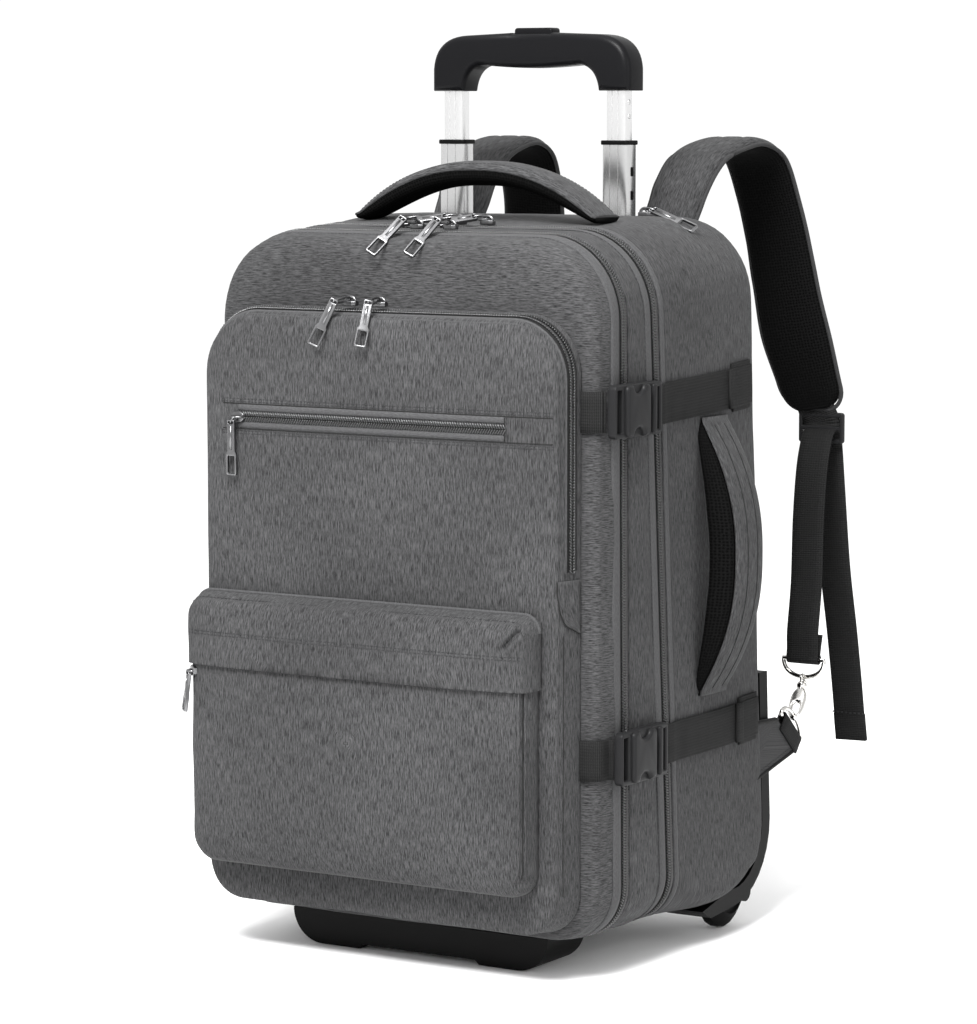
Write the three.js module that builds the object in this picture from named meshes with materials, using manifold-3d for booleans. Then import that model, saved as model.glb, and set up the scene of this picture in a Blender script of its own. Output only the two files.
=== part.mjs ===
// A cabin-size backpack on wheels: soft compartments on a moulded base, a telescopic trolley,
// two padded shoulder straps clipped at the back and four side compression straps.
// Millimetres, +Z up, front of the bag towards -Y, the wearer's right-hand side of the photo at +X.
import * as THREE from "three";
import { mergeVertices } from "three/addons/utils/BufferGeometryUtils.js";
import Module from "manifold-3d";

const wasm = await Module();
wasm.setup();

// Driving sizes of the bag. Depths run from the front of the main bag to its back.
const bagFront = -118;
const depthTop = 235;
const depthFoot = 264;
const bagBottom = 31;
const bagTop = 549;
const bagHalfWidth = 168;
const topCorner = 60;
const bottomCorner = 41;
const edgeRound = 16;
const heelRadius = 46;
const heelLift = 9;
const fabricWall = 3;
const pocketWall = 2;
const gap = 0.4;

// Driving sizes of the running gear
const ground = 4;
const wheelRadius = 30;
const wheelWidth = 22;
const wheelX = 140;
const wheelY = 118;
const axleRadius = 4;
const hubWall = 4;
const wheelDish = 3;
const turningGap = 0.5;
const wellGap = 3;
const wellWall = 4;
const heelGap = 1.2;
const plateThick = 14;
const plateShell = 4;
const plateHalf = 163;
const plateTop = 203;
const plateFront = 48;
const footHalf = 114;
const footFront = -99;
const footDepth = 54;
const footPad = 34;
const footPadLift = 3.5;

// Driving sizes of the trolley
const tubeSpacing = 147;
const trolleyY = 72;
const lowerTube = { width: 22.5, depth: 15.4, bottom: 212, top: 612 };
const stageShown = 41;
const tubeInGrip = 19;
const gripBottom = lowerTube.top + stageShown;
const gripHeight = 45;
const gripTop = gripBottom + gripHeight;
const upperTube = { width: 17.5, depth: 12, wall: 1.5, bottom: 262, top: gripBottom + tubeInGrip };
const tubeCorner = 2.4;
const latch = { width: 4.8, height: 7, depth: 4, first: 17, pitch: 18 };
const slideGap = 0.45;
const sleeveWall = 2.2;
const sleeveTop = 546;
const shoeHalfDepth = 14;
const shoeHeight = 12;
const collarHeight = 3;
const collarRim = 1;
const gripBar = 24;
const gripDepth = 27;
const gripBevel = 5;
const gripSocket = 4;
const buttonWidth = 34;
const buttonDepth = 13;
const buttonTravel = 3;
const buttonProud = 3.4;
const buttonRecess = 9;

// Driving sizes of webbing, handles and clips
const webThick = 1.8;
const compressionWeb = 30;
const strapWeb = 28;
const padThick = 12;
const topHandle = { y: -10, x: 4, halfSpan: 108, rise: 31, width: 34, thick: 11 };
const sideHandle = { y: 45, z: 305, halfSpan: 106, rise: 27.5, width: 40, thick: 7 };
const buckle = { length: 68, height: 39, thick: 10, waist: 8, bar: 4 };
const lock = { width: 40, height: 25, thick: 4.5, rail: 3 };
const ringWire = 1.8;
const pullThick = 2;
const pullWidth = 7;
const pullRim = 1.4;
const slider = { length: 11, width: 8, height: 4 };

const sides = [
  { tag: "right", sign: 1 },
  { tag: "left", sign: -1 },
];

// Colours and finishes
const finish = {
  heather: new THREE.MeshStandardMaterial({ color: 0x4b4b4d, roughness: 0.9, metalness: 0 }),
  lining: new THREE.MeshStandardMaterial({ color: 0x1b1b1c, roughness: 0.95, metalness: 0 }),
  webbing: new THREE.MeshStandardMaterial({ color: 0x1a1a1a, roughness: 0.75, metalness: 0 }),
  zip: new THREE.MeshStandardMaterial({ color: 0x3a3a3b, roughness: 0.6, metalness: 0 }),
  plastic: new THREE.MeshStandardMaterial({ color: 0x141415, roughness: 0.45, metalness: 0 }),
  rubber: new THREE.MeshStandardMaterial({ color: 0x101010, roughness: 0.85, metalness: 0 }),
  aluminium: new THREE.MeshStandardMaterial({ color: 0xc4c6c8, roughness: 0.3, metalness: 1 }),
  gunmetal: new THREE.MeshStandardMaterial({ color: 0x6a6a6a, roughness: 0.35, metalness: 1 }),
  nickel: new THREE.MeshStandardMaterial({ color: 0xb5b2ac, roughness: 0.2, metalness: 1 }),
};

const bag = new THREE.Group();

function add(name, geometry, material) {
  const mesh = new THREE.Mesh(geometry, material);
  mesh.name = name;
  bag.add(mesh);
  return mesh;
}

// Solids and booleans

function solid(geometry) {
  const bare = new THREE.BufferGeometry().setAttribute("position", geometry.getAttribute("position"));
  if (geometry.index) bare.setIndex(geometry.index);
  const merged = mergeVertices(bare, 1e-3);
  return new wasm.Manifold(
    new wasm.Mesh({
      numProp: 3,
      vertProperties: new Float32Array(merged.getAttribute("position").array),
      triVerts: new Uint32Array(merged.index.array),
    }),
  );
}

function geometryOf(manifold) {
  const mesh = manifold.getMesh();
  const geometry = new THREE.BufferGeometry();
  geometry.setAttribute("position", new THREE.BufferAttribute(new Float32Array(mesh.vertProperties), 3));
  geometry.setIndex(new THREE.BufferAttribute(new Uint32Array(mesh.triVerts), 1));
  return geometry;
}

function box(x0, x1, y0, y1, z0, z1) {
  const made = new THREE.BoxGeometry(x1 - x0, y1 - y0, z1 - z0);
  return solid(made.translate((x0 + x1) / 2, (y0 + y1) / 2, (z0 + z1) / 2));
}

// A round bar or disc from one point to another
function rod(from, to, radius, facets = 16) {
  const along = new THREE.Vector3().subVectors(to, from);
  const made = new THREE.CylinderGeometry(radius, radius, along.length(), facets);
  made.applyQuaternion(
    new THREE.Quaternion().setFromUnitVectors(new THREE.Vector3(0, 1, 0), along.clone().normalize()),
  );
  const middle = new THREE.Vector3().addVectors(from, to).multiplyScalar(0.5);
  return solid(made.translate(middle.x, middle.y, middle.z));
}

// An outline in a plane pushed along the plane's normal, placed by three directions and an origin
function slab(shape, from, to, origin, right, up, curveSegments = 6) {
  const made = new THREE.ExtrudeGeometry(shape, { depth: to - from, bevelEnabled: false, curveSegments });
  made.translate(0, 0, from);
  const out = new THREE.Vector3().crossVectors(right, up);
  made.applyMatrix4(new THREE.Matrix4().makeBasis(right, up, out).setPosition(origin));
  return solid(made);
}

// Joins matching loops of points into one skin. The ends are capped unless the run closes on itself.
function skin(loops, closed = false) {
  const points = [];
  const faces = [];
  const count = loops[0].length;
  for (const loop of loops) for (const p of loop) points.push(p.x, p.y, p.z);
  const rows = closed ? loops.length : loops.length - 1;
  for (let i = 0; i < rows; i++) {
    const next = (i + 1) % loops.length;
    for (let k = 0; k < count; k++) {
      const a = i * count + k;
      const b = i * count + ((k + 1) % count);
      const c = next * count + ((k + 1) % count);
      const d = next * count + k;
      faces.push(a, b, c, a, c, d);
    }
  }
  if (!closed)
    for (const [row, turn] of [[0, 1], [loops.length - 1, 0]]) {
      const centre = new THREE.Vector3();
      for (const p of loops[row]) centre.addScaledVector(p, 1 / count);
      const hub = points.length / 3;
      points.push(centre.x, centre.y, centre.z);
      for (let k = 0; k < count; k++) {
        const a = row * count + k;
        const b = row * count + ((k + 1) % count);
        if (turn) faces.push(hub, b, a);
        else faces.push(hub, a, b);
      }
    }
  const geometry = new THREE.BufferGeometry();
  geometry.setAttribute("position", new THREE.BufferAttribute(new Float32Array(points), 3));
  geometry.setIndex(faces);
  return facingOut(geometry);
}

function facingOut(geometry) {
  const p = geometry.getAttribute("position");
  const f = geometry.index.array;
  const [a, b, c] = [new THREE.Vector3(), new THREE.Vector3(), new THREE.Vector3()];
  let volume = 0;
  for (let i = 0; i < f.length; i += 3) {
    a.fromBufferAttribute(p, f[i]);
    b.fromBufferAttribute(p, f[i + 1]);
    c.fromBufferAttribute(p, f[i + 2]);
    volume += a.dot(b.cross(c));
  }
  if (volume < 0) for (let i = 0; i < f.length; i += 3) [f[i], f[i + 1]] = [f[i + 1], f[i]];
  return geometry;
}

// A band or bar swept along points. across is its width direction; section gives [across, outward] pairs.
function sweep(path, across, section) {
  const loops = path.map((p, i) => {
    const ahead = new THREE.Vector3().subVectors(
      path[Math.min(i + 1, path.length - 1)],
      path[Math.max(i - 1, 0)],
    );
    const along = ahead.normalize();
    const side = across.clone().addScaledVector(along, -across.dot(along)).normalize();
    const out = new THREE.Vector3().crossVectors(side, along);
    return section(i / (path.length - 1), i).map(([u, v]) =>
      p.clone().addScaledVector(side, u).addScaledVector(out, v),
    );
  });
  return skin(loops);
}

const flatSection = (width, thick) => () => [
  [-width / 2, -thick / 2],
  [width / 2, -thick / 2],
  [width / 2, thick / 2],
  [-width / 2, thick / 2],
];

// A padded band: flat in the middle, rounded at its two edges
function paddedSection(width, thick, edge = 0.3) {
  const w = width / 2;
  const t = thick / 2;
  const r = thick * edge;
  return [
    [-w, -t + r],
    [-w + r, -t],
    [w - r, -t],
    [w, -t + r],
    [w, t - r],
    [w - r, t],
    [-w + r, t],
    [-w, t - r],
  ];
}

const curveThrough = (rows, steps) =>
  new THREE.CatmullRomCurve3(rows.map((r) => new THREE.Vector3(...r)), false, "centripetal").getPoints(steps);

// The bag's outline

const cornerSteps = 5;

// A rectangle with round corners seen from the front
function outline({ centre = 0, half, bottom, top, rTop, rBottom }, inset = 0) {
  const w = half - inset;
  const hi = top - inset;
  const lo = bottom + inset;
  const corners = [
    [w, hi, Math.max(rTop - inset, 1), 0],
    [-w, hi, Math.max(rTop - inset, 1), 1],
    [-w, lo, Math.max(rBottom - inset, 1), 2],
    [w, lo, Math.max(rBottom - inset, 1), 3],
  ];
  const points = [];
  for (const [x, z, r, quarter] of corners) {
    const cx = x - Math.sign(x) * r;
    const cz = quarter < 2 ? z - r : z + r;
    for (let k = 0; k <= cornerSteps; k++) {
      const angle = ((quarter + k / cornerSteps) * Math.PI) / 2;
      points.push({ x: centre + cx + r * Math.cos(angle), z: cz + r * Math.sin(angle) });
    }
  }
  return points;
}

// Sections of the bag from front to back. top and foot are where each stands, as shares of the bag's
// depth at its top and its foot. side, over and under say how far it stands in from the bag's side,
// top and bottom, as shares of the edge's rounding. corner is its lower corner's share of the bag's.
const bagRows = {
  face: { top: 0, foot: 0, side: 3.25, over: 2.9, under: 2.75, corner: 0.6 },
  faceEdge: { top: 0.006, foot: 0.006, side: 0.55, over: 0.5, under: 0.5, corner: 1 },
  rim: { top: 0.05, foot: 0.05, side: 0.1, over: 0.12, under: 0.12, corner: 1 },
  frontZipNear: { top: 0.11, foot: 0.125, side: 0, over: 0.03, under: 0.06, corner: 1 },
  frontZipFar: { top: 0.166, foot: 0.174, side: 0, over: 0, under: 0.06, corner: 1 },
  gussetMiddle: { top: 0.226, foot: 0.28, side: -0.12, over: -0.1, under: 0, corner: 1 },
  mainZipNear: { top: 0.289, foot: 0.386, side: 0, over: -0.12, under: 0.06, corner: 1 },
  mainZipFar: { top: 0.345, foot: 0.436, side: 0, over: -0.19, under: 0.06, corner: 0.95 },
  rearMiddle: { top: 0.68, foot: 0.697, side: -0.19, over: -0.56, under: 0.2, corner: 0.34 },
  rearEdge: { top: 0.932, foot: 0.94, side: 0, over: -0.5, under: 0.95, corner: 0.26 },
  backTurn: { top: 0.98, foot: 0.985, side: 0.3, over: -0.3, under: 1.45, corner: 0.26 },
  backEdge: { top: 1, foot: 1, side: 1, over: 0.25, under: 2.2, corner: 0.26 },
};
const heelRows = ["rearEdge", "backTurn", "backEdge"];
const heelCentreZ = bagBottom + heelLift + heelRadius;

// Where a row stands at a height: it leans evenly, and the last rows bend forward round the heel
function rowY(name, z) {
  const row = bagRows[name];
  const share = (z - bagBottom) / (bagTop - bagBottom);
  const lean = bagFront + THREE.MathUtils.lerp(row.foot * depthFoot, row.top * depthTop, share);
  const dip = heelRows.includes(name) ? Math.min(Math.max((heelCentreZ - z) / heelRadius, 0), 1) : 0;
  return lean - heelRadius * (1 - Math.sqrt(1 - dip * dip));
}

function bagLoop(name, inset = 0, shift = 0) {
  const row = bagRows[name];
  const small = topCorner * 0.4;
  const shape = {
    half: rowSide(name),
    bottom: rowFoot(name),
    top: rowTop(name),
    rTop: name === "face" ? small : topCorner,
    rBottom: bottomCorner * row.corner,
  };
  return outline(shape, inset).map((p) => new THREE.Vector3(p.x, rowY(name, p.z) + shift, p.z));
}

// The bag's side, top and underside at a depth, away from its corners
function between(y, placeOf, valueOf) {
  const names = Object.keys(bagRows);
  for (let i = 1; i < names.length; i++) {
    const [y0, y1] = [placeOf(names[i - 1]), placeOf(names[i])];
    if (y <= y1) return THREE.MathUtils.mapLinear(y, y0, y1, valueOf(names[i - 1]), valueOf(names[i]));
  }
  return valueOf(names.at(-1));
}
const rowTop = (name) => bagTop - bagRows[name].over * edgeRound;
const rowFoot = (name) => bagBottom + bagRows[name].under * edgeRound;
const rowSide = (name) => bagHalfWidth - bagRows[name].side * edgeRound;
const sideX = (y, z) => between(y, (name) => rowY(name, z), rowSide);
const topZ = (y) => between(y, (name) => rowY(name, rowTop(name)), rowTop);
const bottomZ = (y) => between(y, (name) => rowY(name, rowFoot(name)), rowFoot);

// The whole bag as one block, a little grown, to trim what is sewn to it
function bagBlock(grow = gap) {
  const names = Object.keys(bagRows);
  const last = names.length - 1;
  const loops = names.map((name, i) => bagLoop(name, -grow, i === 0 ? -grow : i === last ? grow : 0));
  return solid(skin(loops));
}

// Soft compartments

function frontCompartment() {
  const rim = "frontZipNear";
  return skin([
    bagLoop("face"),
    bagLoop("faceEdge"),
    bagLoop("rim"),
    bagLoop(rim, 0, -gap),
    bagLoop(rim, fabricWall, -gap),
    bagLoop("rim", fabricWall),
    bagLoop("faceEdge", fabricWall, fabricWall),
    bagLoop("face", fabricWall, fabricWall),
  ]);
}

function middleGusset() {
  return skin(
    [
      bagLoop("frontZipFar", 0, gap),
      bagLoop("gussetMiddle"),
      bagLoop("mainZipNear", 0, -gap),
      bagLoop("mainZipNear", fabricWall, -gap),
      bagLoop("gussetMiddle", fabricWall),
      bagLoop("frontZipFar", fabricWall, gap),
    ],
    true,
  );
}

// The rear compartment is a box open to the main zip, with a slot in its top for each trolley tube
// and a bay in each lower corner for a wheel well
function rearCompartment() {
  let shell = solid(
    skin([
      bagLoop("backEdge", topCorner, 0),
      bagLoop("backEdge"),
      bagLoop("backTurn"),
      bagLoop("rearEdge"),
      bagLoop("rearMiddle"),
      bagLoop("mainZipFar", 0, gap),
      bagLoop("mainZipFar", fabricWall, gap),
      bagLoop("rearMiddle", fabricWall),
      bagLoop("rearEdge", fabricWall, -fabricWall / 2),
      bagLoop("backTurn", fabricWall, -fabricWall),
      bagLoop("backEdge", fabricWall, -fabricWall),
      bagLoop("backEdge", topCorner, -fabricWall),
    ]),
  );
  const slotHalfX = lowerTube.width / 2 + slideGap + sleeveWall;
  const slotHalfY = lowerTube.depth / 2 + slideGap + sleeveWall;
  for (const { sign } of sides) {
    const x = (sign * tubeSpacing) / 2;
    const [y0, y1] = [trolleyY - slotHalfY, trolleyY + slotHalfY];
    shell = shell
      .subtract(box(x - slotHalfX, x + slotHalfX, y0, y1, sleeveTop - slotHalfX, bagTop + topCorner))
      .subtract(wheelWell(sign, gap));
  }
  return geometryOf(shell);
}

// Zips

// Tape and raised coil between two loops, as [share of the way across, outward] pairs
const zipTape = 1.6;
const zipCoil = 1.4;
const zipSunk = 0.2;
const zipSection = [
  [0.03, -zipTape],
  [0.97, -zipTape],
  [0.97, -zipSunk],
  [0.7, -zipSunk],
  [0.64, zipCoil],
  [0.36, zipCoil],
  [0.3, -zipSunk],
  [0.03, -zipSunk],
];

function zipBetween(near, far, closed = true, lift = 0) {
  const last = near.length - 1;
  const loops = near.map((a, k) => {
    const before = near[k > 0 ? k - 1 : closed ? last : 0];
    const after = near[k < last ? k + 1 : closed ? 0 : last];
    const out = new THREE.Vector3(after.z - before.z, 0, before.x - after.x).normalize();
    return zipSection.map(([share, height]) =>
      new THREE.Vector3().lerpVectors(a, far[k], share).addScaledVector(out, height + lift),
    );
  });
  return skin(loops, closed);
}

// Front organizer: a shallow box whose zip runs over its top and down both sides

// Its rows hold depth, half width, top and bottom as shares of these sizes
const organizerHalf = 153;
const organizerTop = 493;
const organizerFoot = 40.5;
const organizerDepth = 29;
const organizerRows = {
  face: { out: 1, half: 0.65, top: 0.89, foot: 2.3 },
  faceEdge: { out: 0.92, half: 0.935, top: 0.976, foot: 1.18 },
  strip: { out: 0.75, half: 0.974, top: 0.988, foot: 1.06 },
  zipNear: { out: 0.58, half: 0.984, top: 0.992, foot: 1.04 },
  zipFar: { out: 0.14, half: 0.997, top: 0.998, foot: 1.01 },
  base: { out: 0, half: 1, top: 1, foot: 1 },
};
const organizerCorner = 44;
const organizerZipEnd = 302;
const organizerBase = bagFront - gap;

function organizerLoop(name, inset = 0, shift = 0) {
  const row = organizerRows[name];
  const corner = name === "face" ? organizerCorner / 2 : organizerCorner;
  const shape = {
    half: row.half * organizerHalf,
    top: row.top * organizerTop,
    bottom: row.foot * organizerFoot,
    rTop: corner,
    rBottom: corner * 0.7,
  };
  const y = organizerBase - row.out * organizerDepth;
  return outline(shape, inset).map((p) => new THREE.Vector3(p.x, y + shift, p.z));
}

function organizer() {
  return skin([
    organizerLoop("face"),
    organizerLoop("faceEdge"),
    organizerLoop("strip"),
    organizerLoop("base"),
    organizerLoop("base", pocketWall),
    organizerLoop("strip", pocketWall, 1),
    organizerLoop("faceEdge", pocketWall, pocketWall),
    organizerLoop("face", pocketWall, pocketWall),
  ]);
}

// The organizer's outline from the right zip end, over the top, to the left zip end
function organizerArc(name) {
  const loop = organizerLoop(name, -gap);
  const run = loop.slice(0, 2 * (cornerSteps + 1));
  const right = run[0].clone().setZ(organizerZipEnd);
  const left = run.at(-1).clone().setZ(organizerZipEnd);
  return [right, ...run, left];
}

const organizerZip = () =>
  zipBetween(organizerArc("zipNear"), organizerArc("zipFar"), false, zipTape + zipSunk);

// Lower front pocket with a hooded flap over its mouth

// Its rows hold depth and the distances in from its outline as shares of the pocket's depth
const pocketCentre = -5;
const pocketHalf = 149;
const pocketTop = 276;
const pocketFoot = 72;
const pocketDepth = 26;
const pocketBack = organizerBase - organizerDepth - gap;
const pocketCorner = 16;
const flapBottom = 224;
const flapThick = 2.2;
const pocketRows = {
  face: { out: 1, side: 2.2, top: 1.7, foot: 1.7 },
  faceEdge: { out: 0.8, side: 0.38, top: 0.46, foot: 0.46 },
  rim: { out: 0.5, side: 0.04, top: 0.15, foot: 0.06 },
  base: { out: 0, side: 0, top: 0, foot: 0 },
};

function pocketLoop(name, inset = 0, shift = 0) {
  const row = pocketRows[name];
  const shape = {
    centre: pocketCentre,
    half: pocketHalf - row.side * pocketDepth,
    top: pocketTop - row.top * pocketDepth,
    bottom: pocketFoot + row.foot * pocketDepth,
    rTop: pocketCorner,
    rBottom: pocketCorner,
  };
  const y = pocketBack - row.out * pocketDepth;
  return outline(shape, inset).map((p) => new THREE.Vector3(p.x, y + shift, p.z));
}

// A filled pocket shape, grown by an amount on every side but its back
function pocketBlock(grow) {
  const names = ["face", "faceEdge", "rim", "base"];
  return solid(skin(names.map((n) => pocketLoop(n, -grow, n === "base" ? 0 : -grow))));
}

function frontPocket() {
  return skin([
    pocketLoop("face"),
    pocketLoop("faceEdge"),
    pocketLoop("rim"),
    pocketLoop("base"),
    pocketLoop("base", pocketWall),
    pocketLoop("rim", pocketWall, pocketWall),
    pocketLoop("faceEdge", pocketWall, pocketWall),
    pocketLoop("face", pocketWall, pocketWall),
  ]);
}

function pocketFlap() {
  const reach = 2 * pocketHalf;
  const hood = pocketBlock(gap + flapThick).subtract(pocketBlock(gap));
  return geometryOf(hood.intersect(box(-reach, reach, -reach, pocketBack - 0.05, flapBottom, bagTop)));
}

// Padded back panel above the moulded base

const panelHalf = 138;
const panelThick = 9;
const panelTop = 528;
const panelBevel = 8;
const panelLevels = [
  { z: plateTop + 8, in: 10 },
  { z: plateTop + 22, in: 0 },
  { z: (plateTop + panelTop) / 2, in: 0 },
  { z: panelTop - 30, in: 0 },
  { z: panelTop, in: 34 },
];

function backPanel() {
  const loops = panelLevels.map((level) => {
    const half = panelHalf - level.in;
    const y = rowY("backEdge", level.z) + gap;
    return [
      new THREE.Vector3(-half, y, level.z),
      new THREE.Vector3(half, y, level.z),
      new THREE.Vector3(half, y + panelThick * 0.6, level.z),
      new THREE.Vector3(half - panelBevel, y + panelThick, level.z),
      new THREE.Vector3(panelBevel - half, y + panelThick, level.z),
      new THREE.Vector3(-half, y + panelThick * 0.6, level.z),
    ];
  });
  return skin(loops);
}

// Moulded base

const X = new THREE.Vector3(1, 0, 0);
const Y = new THREE.Vector3(0, 1, 0);
const Z = new THREE.Vector3(0, 0, 1);

// A block with a round top over each wheel. Grown, it is the bay that the bag leaves for it.
function wheelWell(sign, grow = 0, wall = wellWall) {
  const radius = wheelRadius + wellGap + wall + grow;
  const half = wheelWidth / 2 + turningGap + wall + grow;
  const centre = ground + wheelRadius;
  const at = (x) => new THREE.Vector3(sign * wheelX + x, wheelY, centre);
  return rod(at(-half), at(half), radius, 20).add(
    box(sign * wheelX - half, sign * wheelX + half, wheelY - radius, wheelY + radius, -centre, centre),
  );
}

// The heel's outline seen from the side, a distance outside the bag
function heelCurve(out) {
  const back = (z) => rowY("backEdge", z) + out;
  const centreY = rowY("backEdge", heelCentreZ) - heelRadius;
  const points = [[back(plateTop), plateTop]];
  const steps = 8;
  for (let k = 0; k < steps; k++) {
    const angle = (-k / steps) * (Math.PI / 2);
    const r = heelRadius + out;
    points.push([centreY + r * Math.cos(angle), heelCentreZ + r * Math.sin(angle)]);
  }
  return points;
}

function heelSlab(thick, from, to) {
  const top = heelCentreZ - heelRadius - heelGap;
  const turn = wheelY - wheelRadius;
  const inner = [...heelCurve(heelGap), [turn, top], [plateFront, top - heelLift]];
  const tail = [plateFront + thick, top - heelLift - thick / 2];
  const outer = [...heelCurve(thick), [turn, top - thick], tail];
  const shape = new THREE.Shape();
  [...inner, ...outer.reverse()].forEach(([y, z], i) => (i ? shape.lineTo(y, z) : shape.moveTo(y, z)));
  return slab(shape, from, to, new THREE.Vector3(), Y, Z);
}

// Everything inside the heel's outer outline, across the whole width
function heelEnvelope() {
  const under = heelCentreZ - heelRadius - plateThick;
  const front = [[wheelY - wheelRadius, under], [plateFront, under], [plateFront, plateTop]];
  const outer = [...heelCurve(plateThick), ...front];
  const shape = new THREE.Shape();
  outer.forEach(([y, z], i) => (i ? shape.lineTo(y, z) : shape.moveTo(y, z)));
  return slab(shape, -plateHalf, plateHalf, new THREE.Vector3(), Y, Z);
}

// The moulded heel: a thin shell across the bag's back and a thick guard at each end, with the
// wheel's well in it and an axle fused across the well
function rearPlate() {
  let plate = heelSlab(plateShell, -plateHalf, plateHalf);
  for (const { sign } of sides) {
    const half = wheelWidth / 2 + turningGap;
    const inside = sign * (wheelX - half - wellWall);
    const outside = sign * plateHalf;
    const hub = (x) => new THREE.Vector3(sign * x, wheelY, ground + wheelRadius);
    const bossRadius = axleRadius + wellWall;
    const well = wheelWell(sign)
      .intersect(heelEnvelope())
      .add(rod(hub(wheelX - half - wellWall), hub(plateHalf), bossRadius, 16));
    plate = plate
      .add(heelSlab(plateThick, Math.min(inside, outside), Math.max(inside, outside)))
      .add(well)
      .subtract(wheelWell(sign, 0, 0))
      .add(rod(hub(wheelX - half - 1), hub(wheelX + half + 1), axleRadius, 12));
  }
  return geometryOf(plate);
}

function wheel(sign) {
  const half = wheelWidth / 2;
  const bore = axleRadius + turningGap;
  const hubRadius = bore + hubWall;
  const tyreRadius = wheelRadius * 0.64;
  const side = [
    [bore, half],
    [hubRadius, half],
    [hubRadius + 1, half - wheelDish],
    [tyreRadius - 1, half - wheelDish],
    [tyreRadius, half],
    [wheelRadius, half * 0.35],
  ];
  const profile = [...side.map(([r, h]) => [r, -h]), ...side.toReversed(), [bore, -half]]
    .map(([r, h]) => new THREE.Vector2(r, h));
  const made = new THREE.LatheGeometry(profile, 20);
  made.rotateZ(Math.PI / 2);
  made.translate(sign * wheelX, wheelY, ground + wheelRadius);
  return made;
}

// Front foot: a bar with round ends, standing on a pad at each end
function frontFoot() {
  const top = rowFoot("frontZipNear") - zipCoil - gap;
  const round = top - ground;
  const flat = footHalf - round;
  const shape = new THREE.Shape();
  shape.moveTo(-footHalf, top);
  shape.absarc(-flat, top, round, Math.PI, 1.5 * Math.PI, false);
  shape.lineTo(-flat + footPad, ground);
  shape.lineTo(-flat + footPad + footPadLift, ground + footPadLift);
  shape.lineTo(flat - footPad - footPadLift, ground + footPadLift);
  shape.lineTo(flat - footPad, ground);
  shape.absarc(flat, top, round, 1.5 * Math.PI, 2 * Math.PI, false);
  shape.closePath();
  const bar = slab(shape, 0, footDepth, new THREE.Vector3(0, footFront + footDepth, 0), X, Z, 8);
  return geometryOf(bar.subtract(bagBlock()));
}

// Trolley

// A bar with the tubes' section: a rectangle with cut corners
function tubeSolid(width, depth, x, bottom, top, corner = tubeCorner) {
  const [w, d] = [width / 2, depth / 2];
  const shape = new THREE.Shape();
  shape.moveTo(w, -d + corner);
  shape.lineTo(w, d - corner);
  shape.lineTo(w - corner, d);
  shape.lineTo(-w + corner, d);
  shape.lineTo(-w, d - corner);
  shape.lineTo(-w, -d + corner);
  shape.lineTo(-w + corner, -d);
  shape.lineTo(w - corner, -d);
  shape.closePath();
  return slab(shape, bottom, top, new THREE.Vector3(x, trolleyY, 0), X, Y);
}

function trolleyBase() {
  const floor = bottomZ(trolleyY + shoeHalfDepth) + fabricWall;
  const half = tubeSpacing / 2 + lowerTube.width / 2 + sleeveWall + slideGap;
  let base = box(-half, half, trolleyY - shoeHalfDepth, trolleyY + shoeHalfDepth, floor, floor + shoeHeight);
  for (const { sign } of sides) {
    const x = (sign * tubeSpacing) / 2;
    const [w, d] = [lowerTube.width + 2 * slideGap, lowerTube.depth + 2 * slideGap];
    const bore = floor + shoeHeight / 2;
    base = base
      .add(tubeSolid(w + 2 * sleeveWall, d + 2 * sleeveWall, x, bore, sleeveTop))
      .subtract(tubeSolid(w, d, x, bore, sleeveTop + 1));
  }
  return geometryOf(base);
}

// The outer telescoping tube, with its collar and two latch windows near the top of its outer side
function lowerTubeSolid(sign) {
  const x = (sign * tubeSpacing) / 2;
  const { width, depth, bottom, top } = lowerTube;
  const bore = [upperTube.width + 2 * slideGap, upperTube.depth + 2 * slideGap];
  let tube = tubeSolid(width, depth, x, bottom, top)
    .add(tubeSolid(width + 2 * collarRim, depth + 2 * collarRim, x, top, top + collarHeight))
    .subtract(tubeSolid(...bore, x, bottom - 1, top + collarHeight + 1));
  const face = x + (sign * width) / 2;
  const [y0, y1] = [trolleyY - latch.width / 2, trolleyY + latch.width / 2];
  for (const below of [latch.first, latch.first + latch.pitch]) {
    const z = top - below;
    tube = tube.subtract(box(face - latch.depth, face + latch.depth, y0, y1, z - latch.height, z));
  }
  return geometryOf(tube);
}

function upperTubeSolid(sign) {
  const { width, depth, wall, bottom, top } = upperTube;
  const x = (sign * tubeSpacing) / 2;
  const bore = tubeSolid(width - 2 * wall, depth - 2 * wall, x, bottom - 1, top + 1, tubeCorner / 2);
  return geometryOf(tubeSolid(width, depth, x, bottom, top).subtract(bore));
}

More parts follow.
